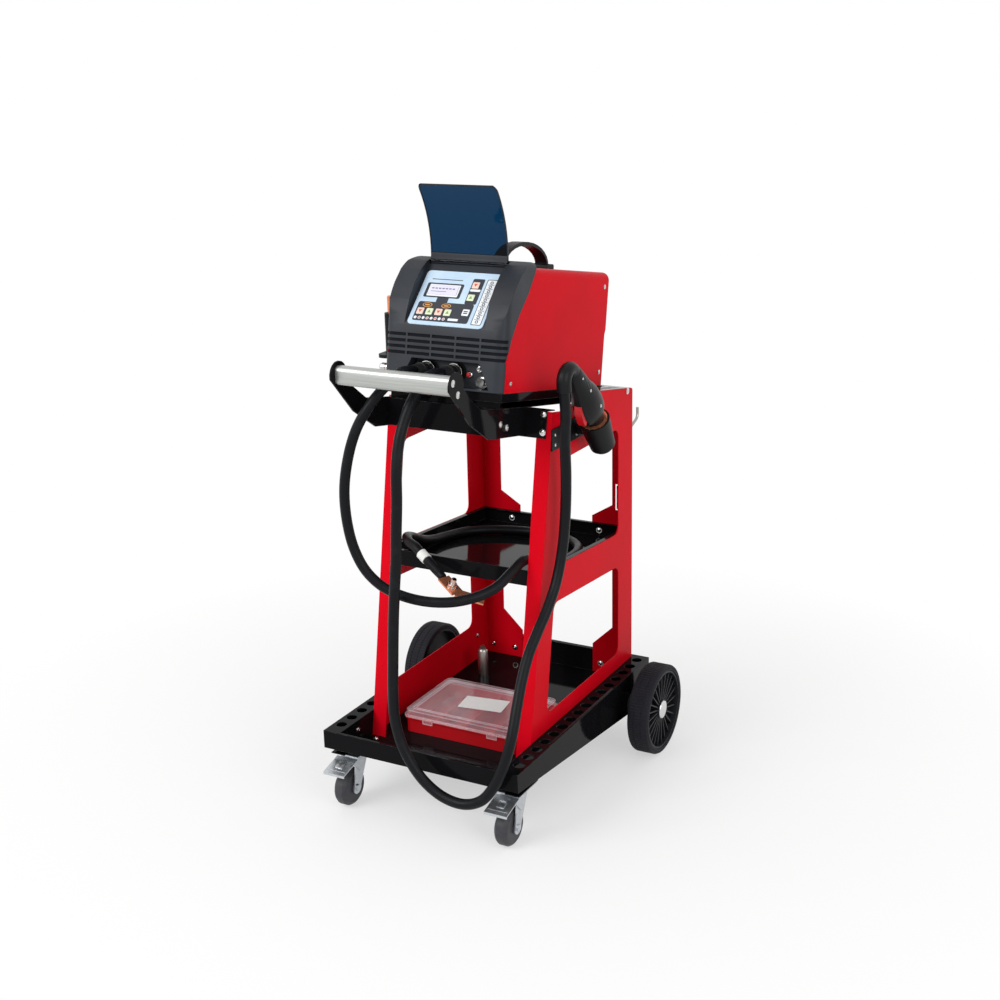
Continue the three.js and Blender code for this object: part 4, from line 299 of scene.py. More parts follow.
axle_back, wheel_radius, tyre_width, tyre_start, cap_start = 195.5, 93, 45, 242, 282.3
tread_bars, bar_depth, bars_along, bars_above = 96, 1.0, (4, 41), 92
tyre_face = [(0, 81.6), (0, 86.0), (0.7, 86.4), (0.7, 87.2), (0, 87.6), (0, 88.0), (1.7, 91.3),
             (5, wheel_radius)]
groove = [(13.6, wheel_radius), (14.2, 91.6), (15.8, 91.6), (16.4, wheel_radius)]
half_tyre = [(1.7, 81)] + tyre_face + groove
tyre = half_tyre + [(tyre_width - along, out) for along, out in half_tyre[::-1]]
tyre_ring = lathe(tyre, tread_bars * 4, tread_bars, bar_depth, bars_along, bars_above, closed=True)
cap_dome = lathe([(0, 0), (0, 18.5), (1.2, 18.5), (2.2, 17.8), (3.4, 14.8), (4.2, 9.6), (4.6, 0)], 40)
for hand, side in hands.items():
    body, outwards = f"rear_wheel_{hand}", (side, 0, 0)
    ring = framed(tyre_ring, (side * tyre_start, axle_back, wheel_radius), outwards)
    new_tyre = piece(f"tyre_{hand}", [ring], tyre_rubber, body)
    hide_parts(f"rear_tyre_{hand}")
    dome = framed(cap_dome, (side * cap_start, axle_back, wheel_radius), outwards)
    new_cap = piece(f"wheel_cap_{hand}", [dome], chrome, body)
    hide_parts(f"hub_cap_{hand}")


# Casters: a plate, a fork and a brake pedal pressed from zinc-plated steel with a faint cloudy spangle, round
# a grey rubber wheel. Each pedal has a raised tab in its middle and a fold near its tip.
zinc = Finish("zinc", colour(196, 200, 204), 0.3, Metallic=0.92)
spangle = zinc.node("TexVoronoi", {}, {"Vector": zinc.place, "Scale": 240})
zinc.vary(Base_Color=zinc.mix(spangle.over(0.1, 0.9) * 0.5 + zinc.noise(60, 2) * 0.4,
                              colour(178, 184, 190), colour(214, 216, 218)),
          Roughness=0.22 + zinc.noise(120, 3) * 0.2)
zinc.bump(zinc.noise(700, 2), 0.00002)
dress(zinc, *(f"{part}_{hand}" for part in ("caster_plate", "caster_fork", "caster_brake") for hand in hands))

caster_rubber = Finish("caster_rubber", colour(58, 58, 63), 0.5, Specular_IOR_Level=0.3)
caster_dust = caster_rubber.noise(70, 3).over(0.45, 0.75)
caster_rubber.vary(Base_Color=caster_rubber.mix(caster_dust * 0.4, colour(54, 54, 59), colour(84, 83, 84)),
                   Roughness=0.42 + caster_dust * 0.25)
caster_rubber.bump(caster_rubber.noise(900, 2), 0.00006, 0.0008)
dress(caster_rubber, *(f"caster_wheel_{hand}" for hand in hands))


def rounded_outline(low, high, radius, steps=5):
    """The corners of a rectangle from low to high, each an arc of a quarter turn."""
    (x0, y0), (x1, y1) = low, high
    centres = np.array([(x1 - radius, y1 - radius), (x0 + radius, y1 - radius), (x0 + radius, y0 + radius),
                        (x1 - radius, y0 + radius)])
    turn = np.linspace(0, np.pi / 2, steps)[None, :] + np.radians([0, 90, 180, 270])[:, None]
    arcs = centres[:, None, :] + radius * np.stack([np.cos(turn), np.sin(turn)], -1)
    return arcs.reshape(-1, 2)


def slab(outline, low, high):
    """A flat plate of an outline, from height low to high."""
    outline = np.asarray(outline, float)
    count = len(outline)
    points = np.concatenate([np.column_stack([outline, np.full(count, level)]) for level in (low, high)])
    ring = np.arange(count)
    sides = np.stack([ring, (ring + 1) % count, count + (ring + 1) % count, count + ring], -1).tolist()
    return points, [ring[::-1].tolist(), (count + ring).tolist()] + sides


pedal_middle, pedal_slope = np.array([176, -303.0, 91.9]), np.arctan2(13.0, 49.0)
pedal_out = (0, -np.sin(pedal_slope), np.cos(pedal_slope))
pedal_tab = slab(rounded_outline((-8, -9), (8, 9), 1.2), -0.4, 1.4)
pedal_fold = slab(rounded_outline((-20.5, -17.5), (20.5, -16), 0.6), -0.2, 0.6)
for hand, side in hands.items():
    raised = [framed(part, pedal_middle * (side, 1, 1), pedal_out) for part in (pedal_tab, pedal_fold)]
    piece(f"pedal_tab_{hand}", raised, zinc, f"brake_pedal_{hand}", bevel=0.5)


# Storage box: a red moulded base with dividers, and a hinged lid in clear acrylic with two raised ridges
# round its top. A blank paper label is stuck on it, a little askew.
red_plastic = Finish("red_plastic", colour(190, 14, 24), 0.35)
red_plastic.vary(Roughness=0.28 + red_plastic.noise(260, 2) * 0.16)
red_plastic.bump(red_plastic.noise(900, 1), 0.00004)
dress(red_plastic, "storage_box_base")

# Painted reflection: the lid's faintly pink white colour, more opaque towards its edges, stands in for the
# white sheen the clear acrylic throws back.
clear = Finish("clear_plastic", colour(250, 226, 234), 0.08, Alpha=0.3, Coat_Weight=0.6, Coat_Roughness=0.04)
clear.vary(Roughness=0.06 + clear.noise(40, 3).over(0.45, 0.9) * 0.14,
           Alpha=0.14 + clear.edge(0.003) * 0.5 + clear.noise(25, 2).over(0.5, 0.9) * 0.08)
dress(clear, "storage_box_lid")


def ring_band(outer, inner, low, high):
    """A flat ring between two outlines of as many points, from height low to high."""
    loops = [np.column_stack([outline, np.full(len(outline), level)])
             for outline, level in ((outer, low), (outer, high), (inner, high), (inner, low))]
    return np.concatenate(loops), grid_faces(4, len(outer), wrap_columns=True, wrap_rows=True)


ridge_low, ridge_high, ridge_foot = np.array([-116, -137]), np.array([116, 17]), 153.8
ridge_width, ridge_height, ridge_gap = 1.4, 0.7, 5


def ridge_outline(inset, radius):
    """The outer ridge's outline, drawn in by an inset."""
    return rounded_outline(ridge_low + inset, ridge_high - inset, radius)


ridges = [ring_band(ridge_outline(inset, 9), ridge_outline(inset + ridge_width, 8), ridge_foot,
                    ridge_foot + ridge_height) for inset in (0, ridge_gap)]
piece("box_lid_ridges", ridges, clear, "box_cover")

paper = Finish("paper", colour(238, 238, 236), 0.6, "white_plastic")
paper.vary(Base_Color=paper.mix(paper.noise(90, 3), colour(230, 230, 228), colour(244, 244, 242)))
paper.bump(paper.noise(1400, 2), 0.00004)
label_middle, label_thickness, label_slant = (4, -57, 153.95), 0.25, np.radians(8)
label = slab(rounded_outline((-46, -27), (46, 27), 2), 0, label_thickness)
piece("box_label", [framed(label, label_middle, (0, 0, 1), label_slant)], paper, "box_cover")


# Screws: chromed pan heads with a cross recess, each on a washer, where the sheets, the covers and the hooks
# are fixed. Each stands as the driver left it, turned its own way.
cross_angles = np.radians([-15, -11, 0, 11, 15, 45])
cross_turns = (np.radians([0, 90, 180, 270])[:, None] + cross_angles).ravel()
in_cross = np.tile([False, True, True, True, False, False], 4)
ring_shares = np.array([0.001, 0.22, 0.5, 0.56, 0.72, 0.88, 0.97, 1.0])
arm_share, heart_share, sunk_share = 0.53, 0.15, 0.3
washer_depth, dome_turn = 0.8, 1.15


def screw_head(radius, washer_radius):
    """A pan head round z: its height is the cosine of the way out, less a recess inside four narrow arms."""
    dome = radius * (0.5 * np.cos(ring_shares * dome_turn) - 0.5 * np.cos(dome_turn) + 0.25) + washer_depth
    in_recess = (ring_shares < arm_share)[:, None] & (in_cross | (ring_shares < heart_share)[:, None])
    rim = np.array([(radius, washer_depth), (washer_radius, washer_depth), (washer_radius, 0), (0.001, 0)])
    height = np.concatenate([dome[:, None] - sunk_share * radius * in_recess,
                             np.repeat(rim[:, 1:], len(cross_turns), 1)])
    reach = np.concatenate([ring_shares * radius, rim[:, 0]])[:, None]
    points = np.stack([reach * np.cos(cross_turns), reach * np.sin(cross_turns), height], -1)
    points[[0, -1], :, :2] = 0
    return points.reshape(-1, 3), grid_faces(len(reach), len(cross_turns), wrap_columns=True)


def screws(name, places, radius, washer_radius):
    """One piece with a screw for each (point, direction), each turned its own way."""
    turns = np.random.default_rng(len(places)).uniform(0, np.pi / 2, len(places))
    heads = [framed(screw_head(radius, washer_radius), place, aim, turn)
             for (place, aim), turn in zip(places, turns)]
    return piece(name, heads, chrome)


deck_tilt = np.radians(9.8)
deck_start = np.array([0, -176.465, 823.7])     # where the welder's front foot stands, in millimetres
deck_back = np.array([0, np.cos(deck_tilt), -np.sin(deck_tilt)])
deck_up = np.array([0, np.sin(deck_tilt), np.cos(deck_tilt)])
across = np.array([1.0, 0, 0])


def on_deck(x, back, height):
    """Points of the tilted deck: x across, then along the deck to the rear, then square up from it."""
    x, back, height = (np.asarray(side, float)[..., None] for side in (x, back, height))
    return deck_start + x * across + back * deck_back + height * deck_up


panel_screws = [((side * 175, y, z), (side, 0, 0)) for side in both
                for y, z in ((103.1, 764.3), (255.7, 741.1))]
panel_screws += [((side * 172.8, 232.3, 163), (-side, 0, 0)) for side in both]
panel_screws += [((side * x, 278.4, 130), (0, -1, 0)) for side in both for x in (104, 158)]
panel_screws += [((side * 103, 274.6, 432.5), (0, -1, 0)) for side in both]
panel_screws += [((side * 175.0, -241, 140), (-side, 0, 0)) for side in both]
panel_screws += [((side * 160, -202.6, 108.3), (0, 0, 1)) for side in both]
screws("panel_screws", panel_screws, 4.4, 6.6)
deck_screws = [(on_deck(side * 158.7, 104.3, height), -deck_back) for side in both for height in (-38, -71)]
deck_screws += [(on_deck(side * 120.0, back, height), (side, 0, 0)) for side in both
                for back, height in ((12, -54.5), (36.2, -61.4), (-165.8, 24.4), (-147, 4.5))]
screws("deck_screws", deck_screws, 4.4, 6.4)
cover_screws = [(on_deck(side * 124, back, height), (side, 0, 0)) for side in both
                for back, height in ((33, 17), (407, 195), (407, 27))]
cover_screws += [(on_deck(side * 70, 126, 223), deck_up) for side in both]
cover_screws += [(on_deck(side * 112, 421.7, height), deck_back) for side in both for height in (12, 196)]
cover_screws += [(on_deck(0, 284 + side * 103, 233.2), deck_up) for side in both]
screws("cover_screws", cover_screws, 3.2, 4.6)
hook_screws = [((side * 158, 283.8, 640 + lift), (0, 1, 0)) for side in both for lift in (-11, 11)]
screws("hook_screws", hook_screws, 3.0, 3.6)


# Welder housing: a cover folded from sheet steel in the panels' red, over a base pan and a rear panel in the
# trolley's black. A bent strap of black plastic is screwed to its top as a carry handle.
dress(red_paint, "welder_cover")
dress(black_paint, "welder_base_pan", "welder_rear_panel")
black_plastic = Finish("black_plastic", colour(14, 15, 17), 0.42, Specular_IOR_Level=0.16)
mould = black_plastic.noise(1100, 2)
worn = black_plastic.edge(0.0012) * black_plastic.noise(60, 2).over(0.4, 0.7)
black_plastic.vary(Base_Color=black_plastic.mix(worn * 0.5, colour(13, 14, 16), colour(52, 54, 58)),
                   Roughness=0.36 + mould * 0.18)
black_plastic.bump(mould, 0.00005, 0.001)
dress(black_plastic, "carry_handle")


# Welder tray's front strip: a strip of the black coated sheet across the front of the tray. It closes the gap
# under the base pan as a dark sheet put in for painted shade, where the shade under the pan falls.
pan_shade_half, pan_shade_front, pan_shade_back, pan_shade_foot, pan_shade_top = 114, 16, 18, -27.9, -16.3


def laid(part):
    """A part drawn as x across, along the deck to the rear, and up from it."""
    points, faces = part
    return on_deck(*points.T), faces


# Painted shade: this dark strip fills the gap under the base pan, which lies in shade.
pan_shade_strip = slab(rounded_outline((-pan_shade_half, pan_shade_front), (pan_shade_half, pan_shade_back), 0.8), pan_shade_foot, pan_shade_top)
piece("tray_pan_shade_strip", [laid(pan_shade_strip)], black_paint)


# Inside the housing: a transformer with a stacked iron core and a copper winding, a green circuit board, and
# a black fan behind the rear panel's grille.
iron = Finish("iron", colour(70, 70, 74), 0.6, Metallic=0.6)
leaves = iron.noise(1, 1, iron.stretched(1200, 8, 8))
iron.vary(Base_Color=iron.mix(leaves.over(0.4, 0.6), colour(58, 58, 62), colour(92, 92, 96)))
iron.bump(leaves, 0.0001)
dress(iron, "transformer_core")

copper = Finish("copper", colour(206, 120, 84), 0.3, Metallic=0.72)
tarnish = copper.noise(45, 2).over(0.5, 0.85)
copper.vary(Base_Color=copper.mix(tarnish * 0.5, colour(224, 144, 108), colour(158, 90, 64)),
            Roughness=0.2 + tarnish * 0.2)
copper.bump(copper.noise(300, 1), 0.00002)
dress(copper, "transformer_winding")

board_green = Finish("board", colour(28, 92, 52), 0.5)
board_green.vary(Base_Color=board_green.mix(board_green.noise(260, 1).over(0.52, 0.56),
                                            colour(26, 88, 50), colour(60, 124, 74)))
board_green.bump(board_green.noise(600, 1), 0.00008)
dress(board_green, "circuit_board")
dress(black_plastic, "cooling_fan")


# Welder front: a moulding in dark blue-grey plastic with a fine spark-eroded grain, screwed to the cover.
# Four louvres run round its rounded corners, and a dark strip sunk in each is painted shade for the depth of
# the slot.
dark_plastic = Finish("dark_plastic", colour(36, 39, 45), 0.46, Specular_IOR_Level=0.3)
spark = dark_plastic.noise(1500, 2)
dark_plastic.vary(Base_Color=dark_plastic.mix(dark_plastic.noise(14, 2).over(0.35, 0.7),
                                              colour(31, 34, 40), colour(40, 44, 51)),
                  Roughness=0.4 + spark * 0.18)
dark_plastic.bump(spark, 0.00005, 0.0014)
dress(dark_plastic, "welder_front_bezel")

# Painted shade: a thin dark sheet sunk in each louvre stands for the shadow inside the slot.
louvre_painted_shade = Finish("louvre_painted_shade", colour(22, 24, 29), 0.8, "dark_plastic", Specular_IOR_Level=0.1)
louvre_painted_shade.vary(Roughness=0.7 + louvre_painted_shade.noise(500, 2) * 0.2)
louvre_painted_shade.bump(louvre_painted_shade.noise(900, 1), 0.00005)
front_half, corner_radius, strip_sunk, strip_thickness = 125.5, 20.0, 2.25, 0.12
louvre_rows, louvre_top, louvre_pitch, louvre_half = 4, 91, 11, 2.75
quarter = np.linspace(0, np.pi / 2, 8)
strip_radius = corner_radius - strip_sunk
left_arc = np.stack([-(front_half - corner_radius) - strip_radius * np.cos(quarter),
                     corner_radius - strip_radius * np.sin(quarter)], -1)
strip_outer = np.concatenate([left_arc, left_arc[::-1] * (-1, 1)])
strip_inner = strip_outer * (0.9995, 1) + (0, strip_thickness)
strip_loop = np.concatenate([strip_outer, strip_inner[::-1]])
shade_strips = [laid(slab(strip_loop, level - louvre_half, level + louvre_half))
          for level in louvre_top - louvre_pitch * np.arange(louvre_rows)]
piece("louvre_painted_shade_strips", shade_strips, louvre_painted_shade)


# Control plate: a pale blue printed plate under the smoked lid, with a display behind a pane. Dark printed
# fields frame soft key caps with arrows, two rings, a row of lamps and a strip of choices, all without words.
print_blue = Finish("panel_print", colour(190, 212, 232), 0.34)
print_blue.vary(Base_Color=print_blue.mix(print_blue.noise(30, 2).over(0.3, 0.7),
                                          colour(184, 208, 230), colour(198, 220, 238)),
                Roughness=0.3 + print_blue.noise(240, 2) * 0.12)
print_blue.bump(print_blue.noise(900, 1), 0.00002)
dress(print_blue, "control_plate")
pane = Finish("pane", colour(226, 222, 240), 0.12, Coat_Weight=0.6)
pane.vary(Base_Color=pane.mix(pane.noise(20, 1), colour(214, 212, 236), colour(236, 232, 244)))
dress(pane, "display_window")

plate_run = np.array([69.0, 97.0]) / np.hypot(69.0, 97.0)      # how far back and up the plate leans
plate_up = plate_run[0] * deck_back + plate_run[1] * deck_up
plate_out = plate_run[0] * deck_up - plate_run[1] * deck_back
plate_foot = on_deck(0, 0, 110)
print_depth = 0.3


def on_plate(part):
    """A part drawn as x across, up the plate, and out of it."""
    points, faces = part
    return points @ np.stack([across, plate_up, plate_out]) + plate_foot, faces


def shape(points, level):
    """A printed shape whose face stands at a level over the plate."""
    return on_plate(slab(points, level - print_depth, level))


def field(low, high, radius, level=1.62):
    return shape(rounded_outline(low, high, radius), level)


def round_section(radius, sides=24):
    """The points of a circle: the radius times the cosine and sine of the turn."""
    turn = np.linspace(0, 2 * np.pi, sides, endpoint=False)
    return radius * np.stack([np.cos(turn), np.sin(turn)], -1)


def disc(centre, radius, level, squash=1.0):
    """A printed circle, or an ellipse whose height is squash times its width."""
    return shape(round_section(radius) * (1, squash) + centre, level)


def print_finish(name, ink, roughness=0.38, slot="panel_print"):
    """A printed ink: even, with a faint grain."""
    finish = Finish(name, ink, roughness, slot)
    finish.vary(Roughness=roughness - 0.05 + finish.noise(400, 2) * 0.1)
    finish.bump(finish.noise(1200, 1), 0.00001)
    return finish


dark_ink = print_finish("dark_ink", colour(38, 42, 52))
white_ink = print_finish("white_ink", colour(232, 236, 240))
amber_ink = print_finish("amber_ink", colour(216, 150, 70))
red_ink = print_finish("red_ink", colour(206, 88, 70))
green_ink = print_finish("green_ink", colour(130, 160, 84))
warm_cap = print_finish("warm_cap", colour(238, 206, 192), 0.42)
green_cap = print_finish("green_cap", colour(222, 232, 198), 0.42)

lamp_height, lamp_spots = 14.5, np.linspace(-65, -6, 8)
strip_x, choice_heights, divider_heights = 62.5, np.linspace(14, 99, 10), np.linspace(18.7, 94.3, 9)
piece("print_dark", [
    field((-67, 60), (9, 92), 3), field((-36, 50), (-12, 61), 0.5), field((-70, 8), (45, 50), 4),
    field((23, 50), (47, 106), 3), field((52, 7), (73, 106), 2.5), field((-62, 99.5), (2, 101), 0.6)],
    dark_ink)
piece("print_white", [
    field((53.4, 8.4), (71.6, 104.6), 1.8, 1.68), field((3, 12), (24, 17), 1.5, 1.68),
    field((-61, 63), (3, 89), 1.5, 1.66), field((24.5, 78), (45.5, 83), 1.5, 1.68)]
    + [disc((x, lamp_height), 3.0, 1.7) for x in lamp_spots], white_ink)
piece("strip_icons", [disc((strip_x, height), 3.3, 1.74) for height in choice_heights]
      + [field((56, height - 0.5), (69, height + 0.5), 0.3, 1.74) for height in divider_heights]
      + [field((-62.5, 61.5), (4.5, 63), 0.5, 1.70), field((-62.5, 89), (4.5, 90.5), 0.5, 1.70)], dark_ink)
piece("strip_lights", [disc((strip_x, height), 1.7, 1.78) for height in choice_heights], white_ink)
piece("lamp_row", [disc((x, lamp_height), 1.9, 1.76) for x in lamp_spots[1::2]], red_ink)

ring_spots, ring_height = (-50, -11), 43
piece("rings", [disc((x, ring_height), 10, 1.70, 0.5) for x in ring_spots], amber_ink)
piece("ring_hearts", [disc((x, ring_height), 8.4, 1.74, 0.44) for x in ring_spots], dark_ink)
piece("ring_marks", [field((x - 5, 41.6), (x + 5, 44.4), 1.2, 1.78) for x in ring_spots], amber_ink)

key_half, key_top, arrow_size = 6.9, 2.7, 3.6
mark_level = key_top + 0.08
warm_keys = ((-59.6, 28.6), (-21.4, 28.6), (32.4, 91.4))
green_keys = ((-40.6, 28.6), (-2.8, 28.6), (32.0, 64.1))


def cap(centre):
    """A square key cap on the plate."""
    low, high = np.subtract(centre, key_half), np.add(centre, key_half)
    return on_plate(slab(rounded_outline(low, high, 1.6), 1.5, key_top))


def arrow(centre, way):
    """A triangle on a key cap that points up the plate, or down where way is -1."""
    tip = np.array(centre) + (0, way * arrow_size)
    wings = [np.array(centre) + (side * arrow_size, -way * arrow_size * 0.8) for side in both]
    return shape([tip, *wings], mark_level)


piece("warm_keys", [cap(centre) for centre in warm_keys], warm_cap, bevel=0.4)
piece("green_keys", [cap(centre) for centre in green_keys], green_cap, bevel=0.4)
piece("white_key", [cap((33.8, 31.5))], white_ink, bevel=0.4)
piece("red_arrows", [arrow(centre, -1) for centre in warm_keys], red_ink)
piece("green_arrows", [arrow(centre, 1) for centre in green_keys], green_ink)
piece("white_key_marks", [field((29.5, low), (38, low + 2.2), 0.8, mark_level) for low in (32.2, 28.4)],
      dark_ink)
display_level, dash_starts, dash_length = 3.25, -54 + 7.2 * np.arange(7), 5
dashes = [field((start, 78), (start + dash_length, 80.5), 0.3, display_level) for start in dash_starts]
piece("display_marks", dashes + [field((-54, 72), (-22, 73.2), 0.3, display_level)],
      print_finish("display_ink", colour(120, 112, 140)))


# Smoked lid: a curved sheet of blue acrylic, faintly scratched, that turns down over the control plate on an
# iron pin. A dark bead runs round its three free edges, and a moulded band grips its root over the pin.
smoked = Finish("smoked_plastic", colour(10, 52, 84), 0.05, Transmission_Weight=1.0, IOR=1.2)
smoked.vary(Roughness=0.03 + smoked.noise(30, 3).over(0.5, 0.9) * 0.08)
dress(smoked, "smoked_lid")
dress(iron, "lid_hinge_pin")
lid_root, lid_tip, lid_sag = np.array([80.0, 226.0]), np.array([16.0, 360.0]), 13.0
lid_length = np.linalg.norm(lid_tip - lid_root)
lid_along = (lid_tip - lid_root) / lid_length
lid_axes = np.array([lid_along, (lid_along[1], -lid_along[0])])       # up the lid's chord, and behind it


def on_lid(x, reach):
    """Points by x and by the way up the lid's chord, behind which the lid bulges by a parabola."""
    share = reach / lid_length
    place = lid_root + np.stack([reach, 4 * lid_sag * share * (1 - share)], -1) @ lid_axes
    return on_deck(x, *place.T)


def carried(line, section):
    """A closed section (n, 2) carried along a line: each ring lies square to the path, turned as little as
    can be from the ring before, and both ends are closed at their middle."""
    line, section = np.asarray(line, float), np.asarray(section, float)
    along = np.gradient(line, axis=0)
    along /= np.linalg.norm(along, axis=1)[:, None]
    side = np.cross(along[0], (0.3, 0.5, 0.8))
    sides = []
    for direction in along:
        side = side - direction * side.dot(direction)
        side = side / np.linalg.norm(side)
        sides.append(side)
    sides = np.array(sides)
    others = np.cross(along, sides)
    rings = section[:, :1] * sides[:, None, :] + section[:, 1:] * others[:, None, :] + line[:, None, :]
    first, last = (np.repeat(end, len(section), 0) for end in (line[:1], line[-1:]))
    points = np.concatenate([first, rings.reshape(-1, 3), last])
    return points, grid_faces(len(line) + 2, len(section), wrap_columns=True)


lid_edge = Finish("lid_edge", colour(9, 20, 32), 0.3, "smoked_plastic")
lid_edge.vary(Roughness=0.24 + lid_edge.noise(200, 2) * 0.14)
lid_edge.bump(lid_edge.noise(800, 1), 0.00003)
bead_half, bead_turn, bead_radius, bead_foot, bead_shoulder, bead_steps = 79.6, 11.1, 1.5, 9, 134, 14
corner = np.linspace(0, np.pi / 2, 7)
right_x = np.concatenate([np.full(bead_steps, bead_half), bead_half - bead_turn + bead_turn * np.cos(corner)])
right_reach = np.concatenate([np.linspace(bead_foot, bead_shoulder, bead_steps),
                              lid_length - 12.4 + bead_turn * np.sin(corner)])
bead = on_lid(np.append(right_x, -right_x[::-1]), np.append(right_reach, right_reach[::-1]))
piece("lid_bead", [carried(bead, round_section(bead_radius, 10))], lid_edge, "lid")

band_half, barrel_radius = 80.2, 5.1
sweep = np.radians(np.linspace(15, 165, 12))
barrel = barrel_radius * np.stack([-np.sin(sweep), np.cos(sweep)], -1)
lips = [(6, -0.8), (10, 0.9), (15, 2.7), (15, 6.1), (11, 5.2), (7, 4.6)]
band_outline = lid_root + np.concatenate([barrel, lips]) @ lid_axes
band, band_faces = slab(band_outline, -band_half, band_half)
grip_band = on_deck(band[:, 2], band[:, 0], band[:, 1]), band_faces
piece("lid_hinge_band", [grip_band], dark_plastic, "lid", bevel=0.4)


# Front bay: two plastic cable sockets with a chrome ring round each mouth, a red signal lamp in a chrome
# ring, the control lead's chrome connector and a small turned fitting. Nuts behind the bay's wall hold them.
dress(black_plastic, "earth_socket", "gun_socket")
dress(chrome, "control_connector")
bay_floor, mouth_back, plug_height = 25.7, 13.4, 29.0
socket_spots = {"earth_plug": -39, "gun_plug": 18}
mouth_ring = [(0, 15.0), (0, 17.0), (0.7, 17.0), (0.9, 16.7), (0.9, 15.2), (0.7, 15.0)]
lamp_ring = [(0, 0), (0, 6.4), (2.2, 6.4), (3.0, 5.4), (3.0, 0)]
lamp_lens = [(2.8, 0), (2.8, 4.4), (5.0, 4.2), (6.6, 2.6), (7.2, 0)]
fitting = [(0, 0), (0, 5.2), (3, 5.2), (3.2, 4.2), (7, 4.2), (7.4, 3.6), (7.4, 2.4), (5.4, 2.2), (5.4, 0)]
lamp_place = on_deck(44, bay_floor, 27)
rings = [framed(lathe(mouth_ring, 48, closed=True), on_deck(x, mouth_back - 0.1, plug_height), -deck_back)
         for x in socket_spots.values()]
piece("socket_rings", rings, chrome)
piece("bay_fittings", [framed(lathe(lamp_ring, 28), lamp_place, -deck_back),
                       framed(lathe(fitting, 24), on_deck(65, bay_floor, 38), -deck_back)], chrome)
piece("signal_lens", [framed(lathe(lamp_lens, 24), lamp_place, -deck_back)], red_plastic)


# Welder's left side: a copper rod in a moulded black holder, and a short chrome coupling with a threaded end,
# both screwed through the cover.
def ribs(start, end, count, crest, root):
    """(height, radius) pairs of evenly spaced ribs with flat crests and roots."""
    pitch = (end - start) / count
    lifts = start + pitch * (np.arange(count)[:, None] + np.array([0.0, 0.2, 0.55, 0.75]))
    share = (lifts - start) / (end - start)
    top = crest[0] + (crest[1] - crest[0]) * share
    low = root[0] + (root[1] - root[0]) * share
    radii = np.where(np.array([False, True, True, False]), top, low)
    return np.stack([lifts.ravel(), radii.ravel()], -1).tolist()


dress(black_plastic, "rod_holder")
dress(copper, "copper_rod")
coupling = [(0, 0), (0, 8.2), (5, 8.2), (5.4, 6.4), (9, 6.4), (9.4, 7.4)]
coupling += ribs(10, 19, 6, (7.6, 7.6), (7.1, 7.1))
coupling += [(19.6, 6.8), (22, 6.4), (22, 4.2), (17, 4.0), (17, 0)]
piece("side_coupling", [framed(lathe(coupling, 28), on_deck(-125.3, 30, 26), (-1, 0, 0))], chrome)


# Main switch and mains gland: black mouldings clipped in the rear panel. The rocker has a bar moulded in
# white on its upper half and a ring on its lower half.
dress(black_plastic, "main_switch", "mains_gland")
rocker_marks = print_finish("rocker_marks", colour(232, 232, 230), slot="white_plastic")
rocker_tilt, rocker_half, rocker_rise = np.radians(-10), 14, 2.0


def on_rocker(part, half):
    """A part drawn on one half of the rocker's face, which slopes away from the middle."""
    points, faces = part
    back = half * points[:, 1] / rocker_half * rocker_rise + points[:, 2]
    up_face = points[:, 1]
    turned_back = back * np.cos(rocker_tilt) - up_face * np.sin(rocker_tilt)
    turned_up = back * np.sin(rocker_tilt) + up_face * np.cos(rocker_tilt)
    return on_deck(82 + points[:, 0], 425.7 + turned_back, 58 + turned_up), faces


ring_radius, ring_middle, wire_radius = 3, (0, -7, 0), 0.35
off_points, off_faces = lathe(round_section(wire_radius, 6)[:, ::-1] + (0, ring_radius), 24, closed=True)
off_ring = on_rocker((off_points + ring_middle, off_faces), -1)
on_bar = on_rocker(slab(rounded_outline((-0.5, 4), (0.5, 10), 0.4), -0.2, 0.25), 1)
piece("rocker_marks", [on_bar, off_ring], rocker_marks, "rocker")


# Gun: two moulded halves with a seam between them, held by three screws, with finger ribs on the handle, a
# red trigger and a copper collar. It hangs in a plastic holster that is screwed to the right panel.
gun_shell = Finish("gun_shell", colour(13, 14, 16), 0.38, Specular_IOR_Level=0.18)
gun_head = np.array([213, 4.48, 762.0])
handle_tilt, rib_angle_per_metre = np.radians(40), 1100.0
handle_way = np.array([0, -np.sin(handle_tilt), np.cos(handle_tilt)])
gun_place = gun_shell.node("Mapping", {"vector_type": "TEXTURE"}, {
    "Vector": gun_shell.place, "Location": tuple(gun_head * mm), "Rotation": (handle_tilt, 0, 0)})
gun_across, gun_deep, gun_along = (gun_shell.node("SeparateXYZ", {}, {0: gun_place}, i) for i in range(3))
seam = 1 - gun_shell.math("ABSOLUTE", gun_across).over(0.0002, 0.0006)
grip_zone = gun_along.over(0.058, 0.062) * (1 - gun_along.over(0.100, 0.104)) * gun_deep.over(-0.004, 0.004)
finger_ribs = gun_shell.math("SINE", gun_along * rib_angle_per_metre) * grip_zone
gun_grain = gun_shell.noise(1100, 2)
gun_wear = gun_shell.edge(0.0015) * gun_shell.noise(70, 2).over(0.4, 0.7)
gun_shell.vary(Base_Color=gun_shell.mix(gun_wear * 0.5, colour(12, 13, 15), colour(54, 56, 60)),
               Roughness=0.28 + gun_grain * 0.18 + seam * 0.2)
gun_shell.bump(gun_grain * 0.1 - seam + finger_ribs * 0.6, 0.0005, 0.001)
dress(gun_shell, "gun_body")
dress(red_plastic, "gun_trigger")
dress(copper, "gun_collar")
dress(black_plastic, "gun_holster")
gun_screws = [((177.8, y, z), (1, 0, 0)) for y, z in ((15, 711), (-74, 731), (-74, 712))]
flat_share = 0.72       # the handle's half width, as a share of its half depth
gun_screws += [(gun_head + along * handle_way + (flat_share * reach, 0, 0), (1, 0, 0))
               for along, reach in ((18, 34.6), (62, 25.2), (96, 17.6))]
screws("gun_screws", gun_screws, 2.6, 3.2)


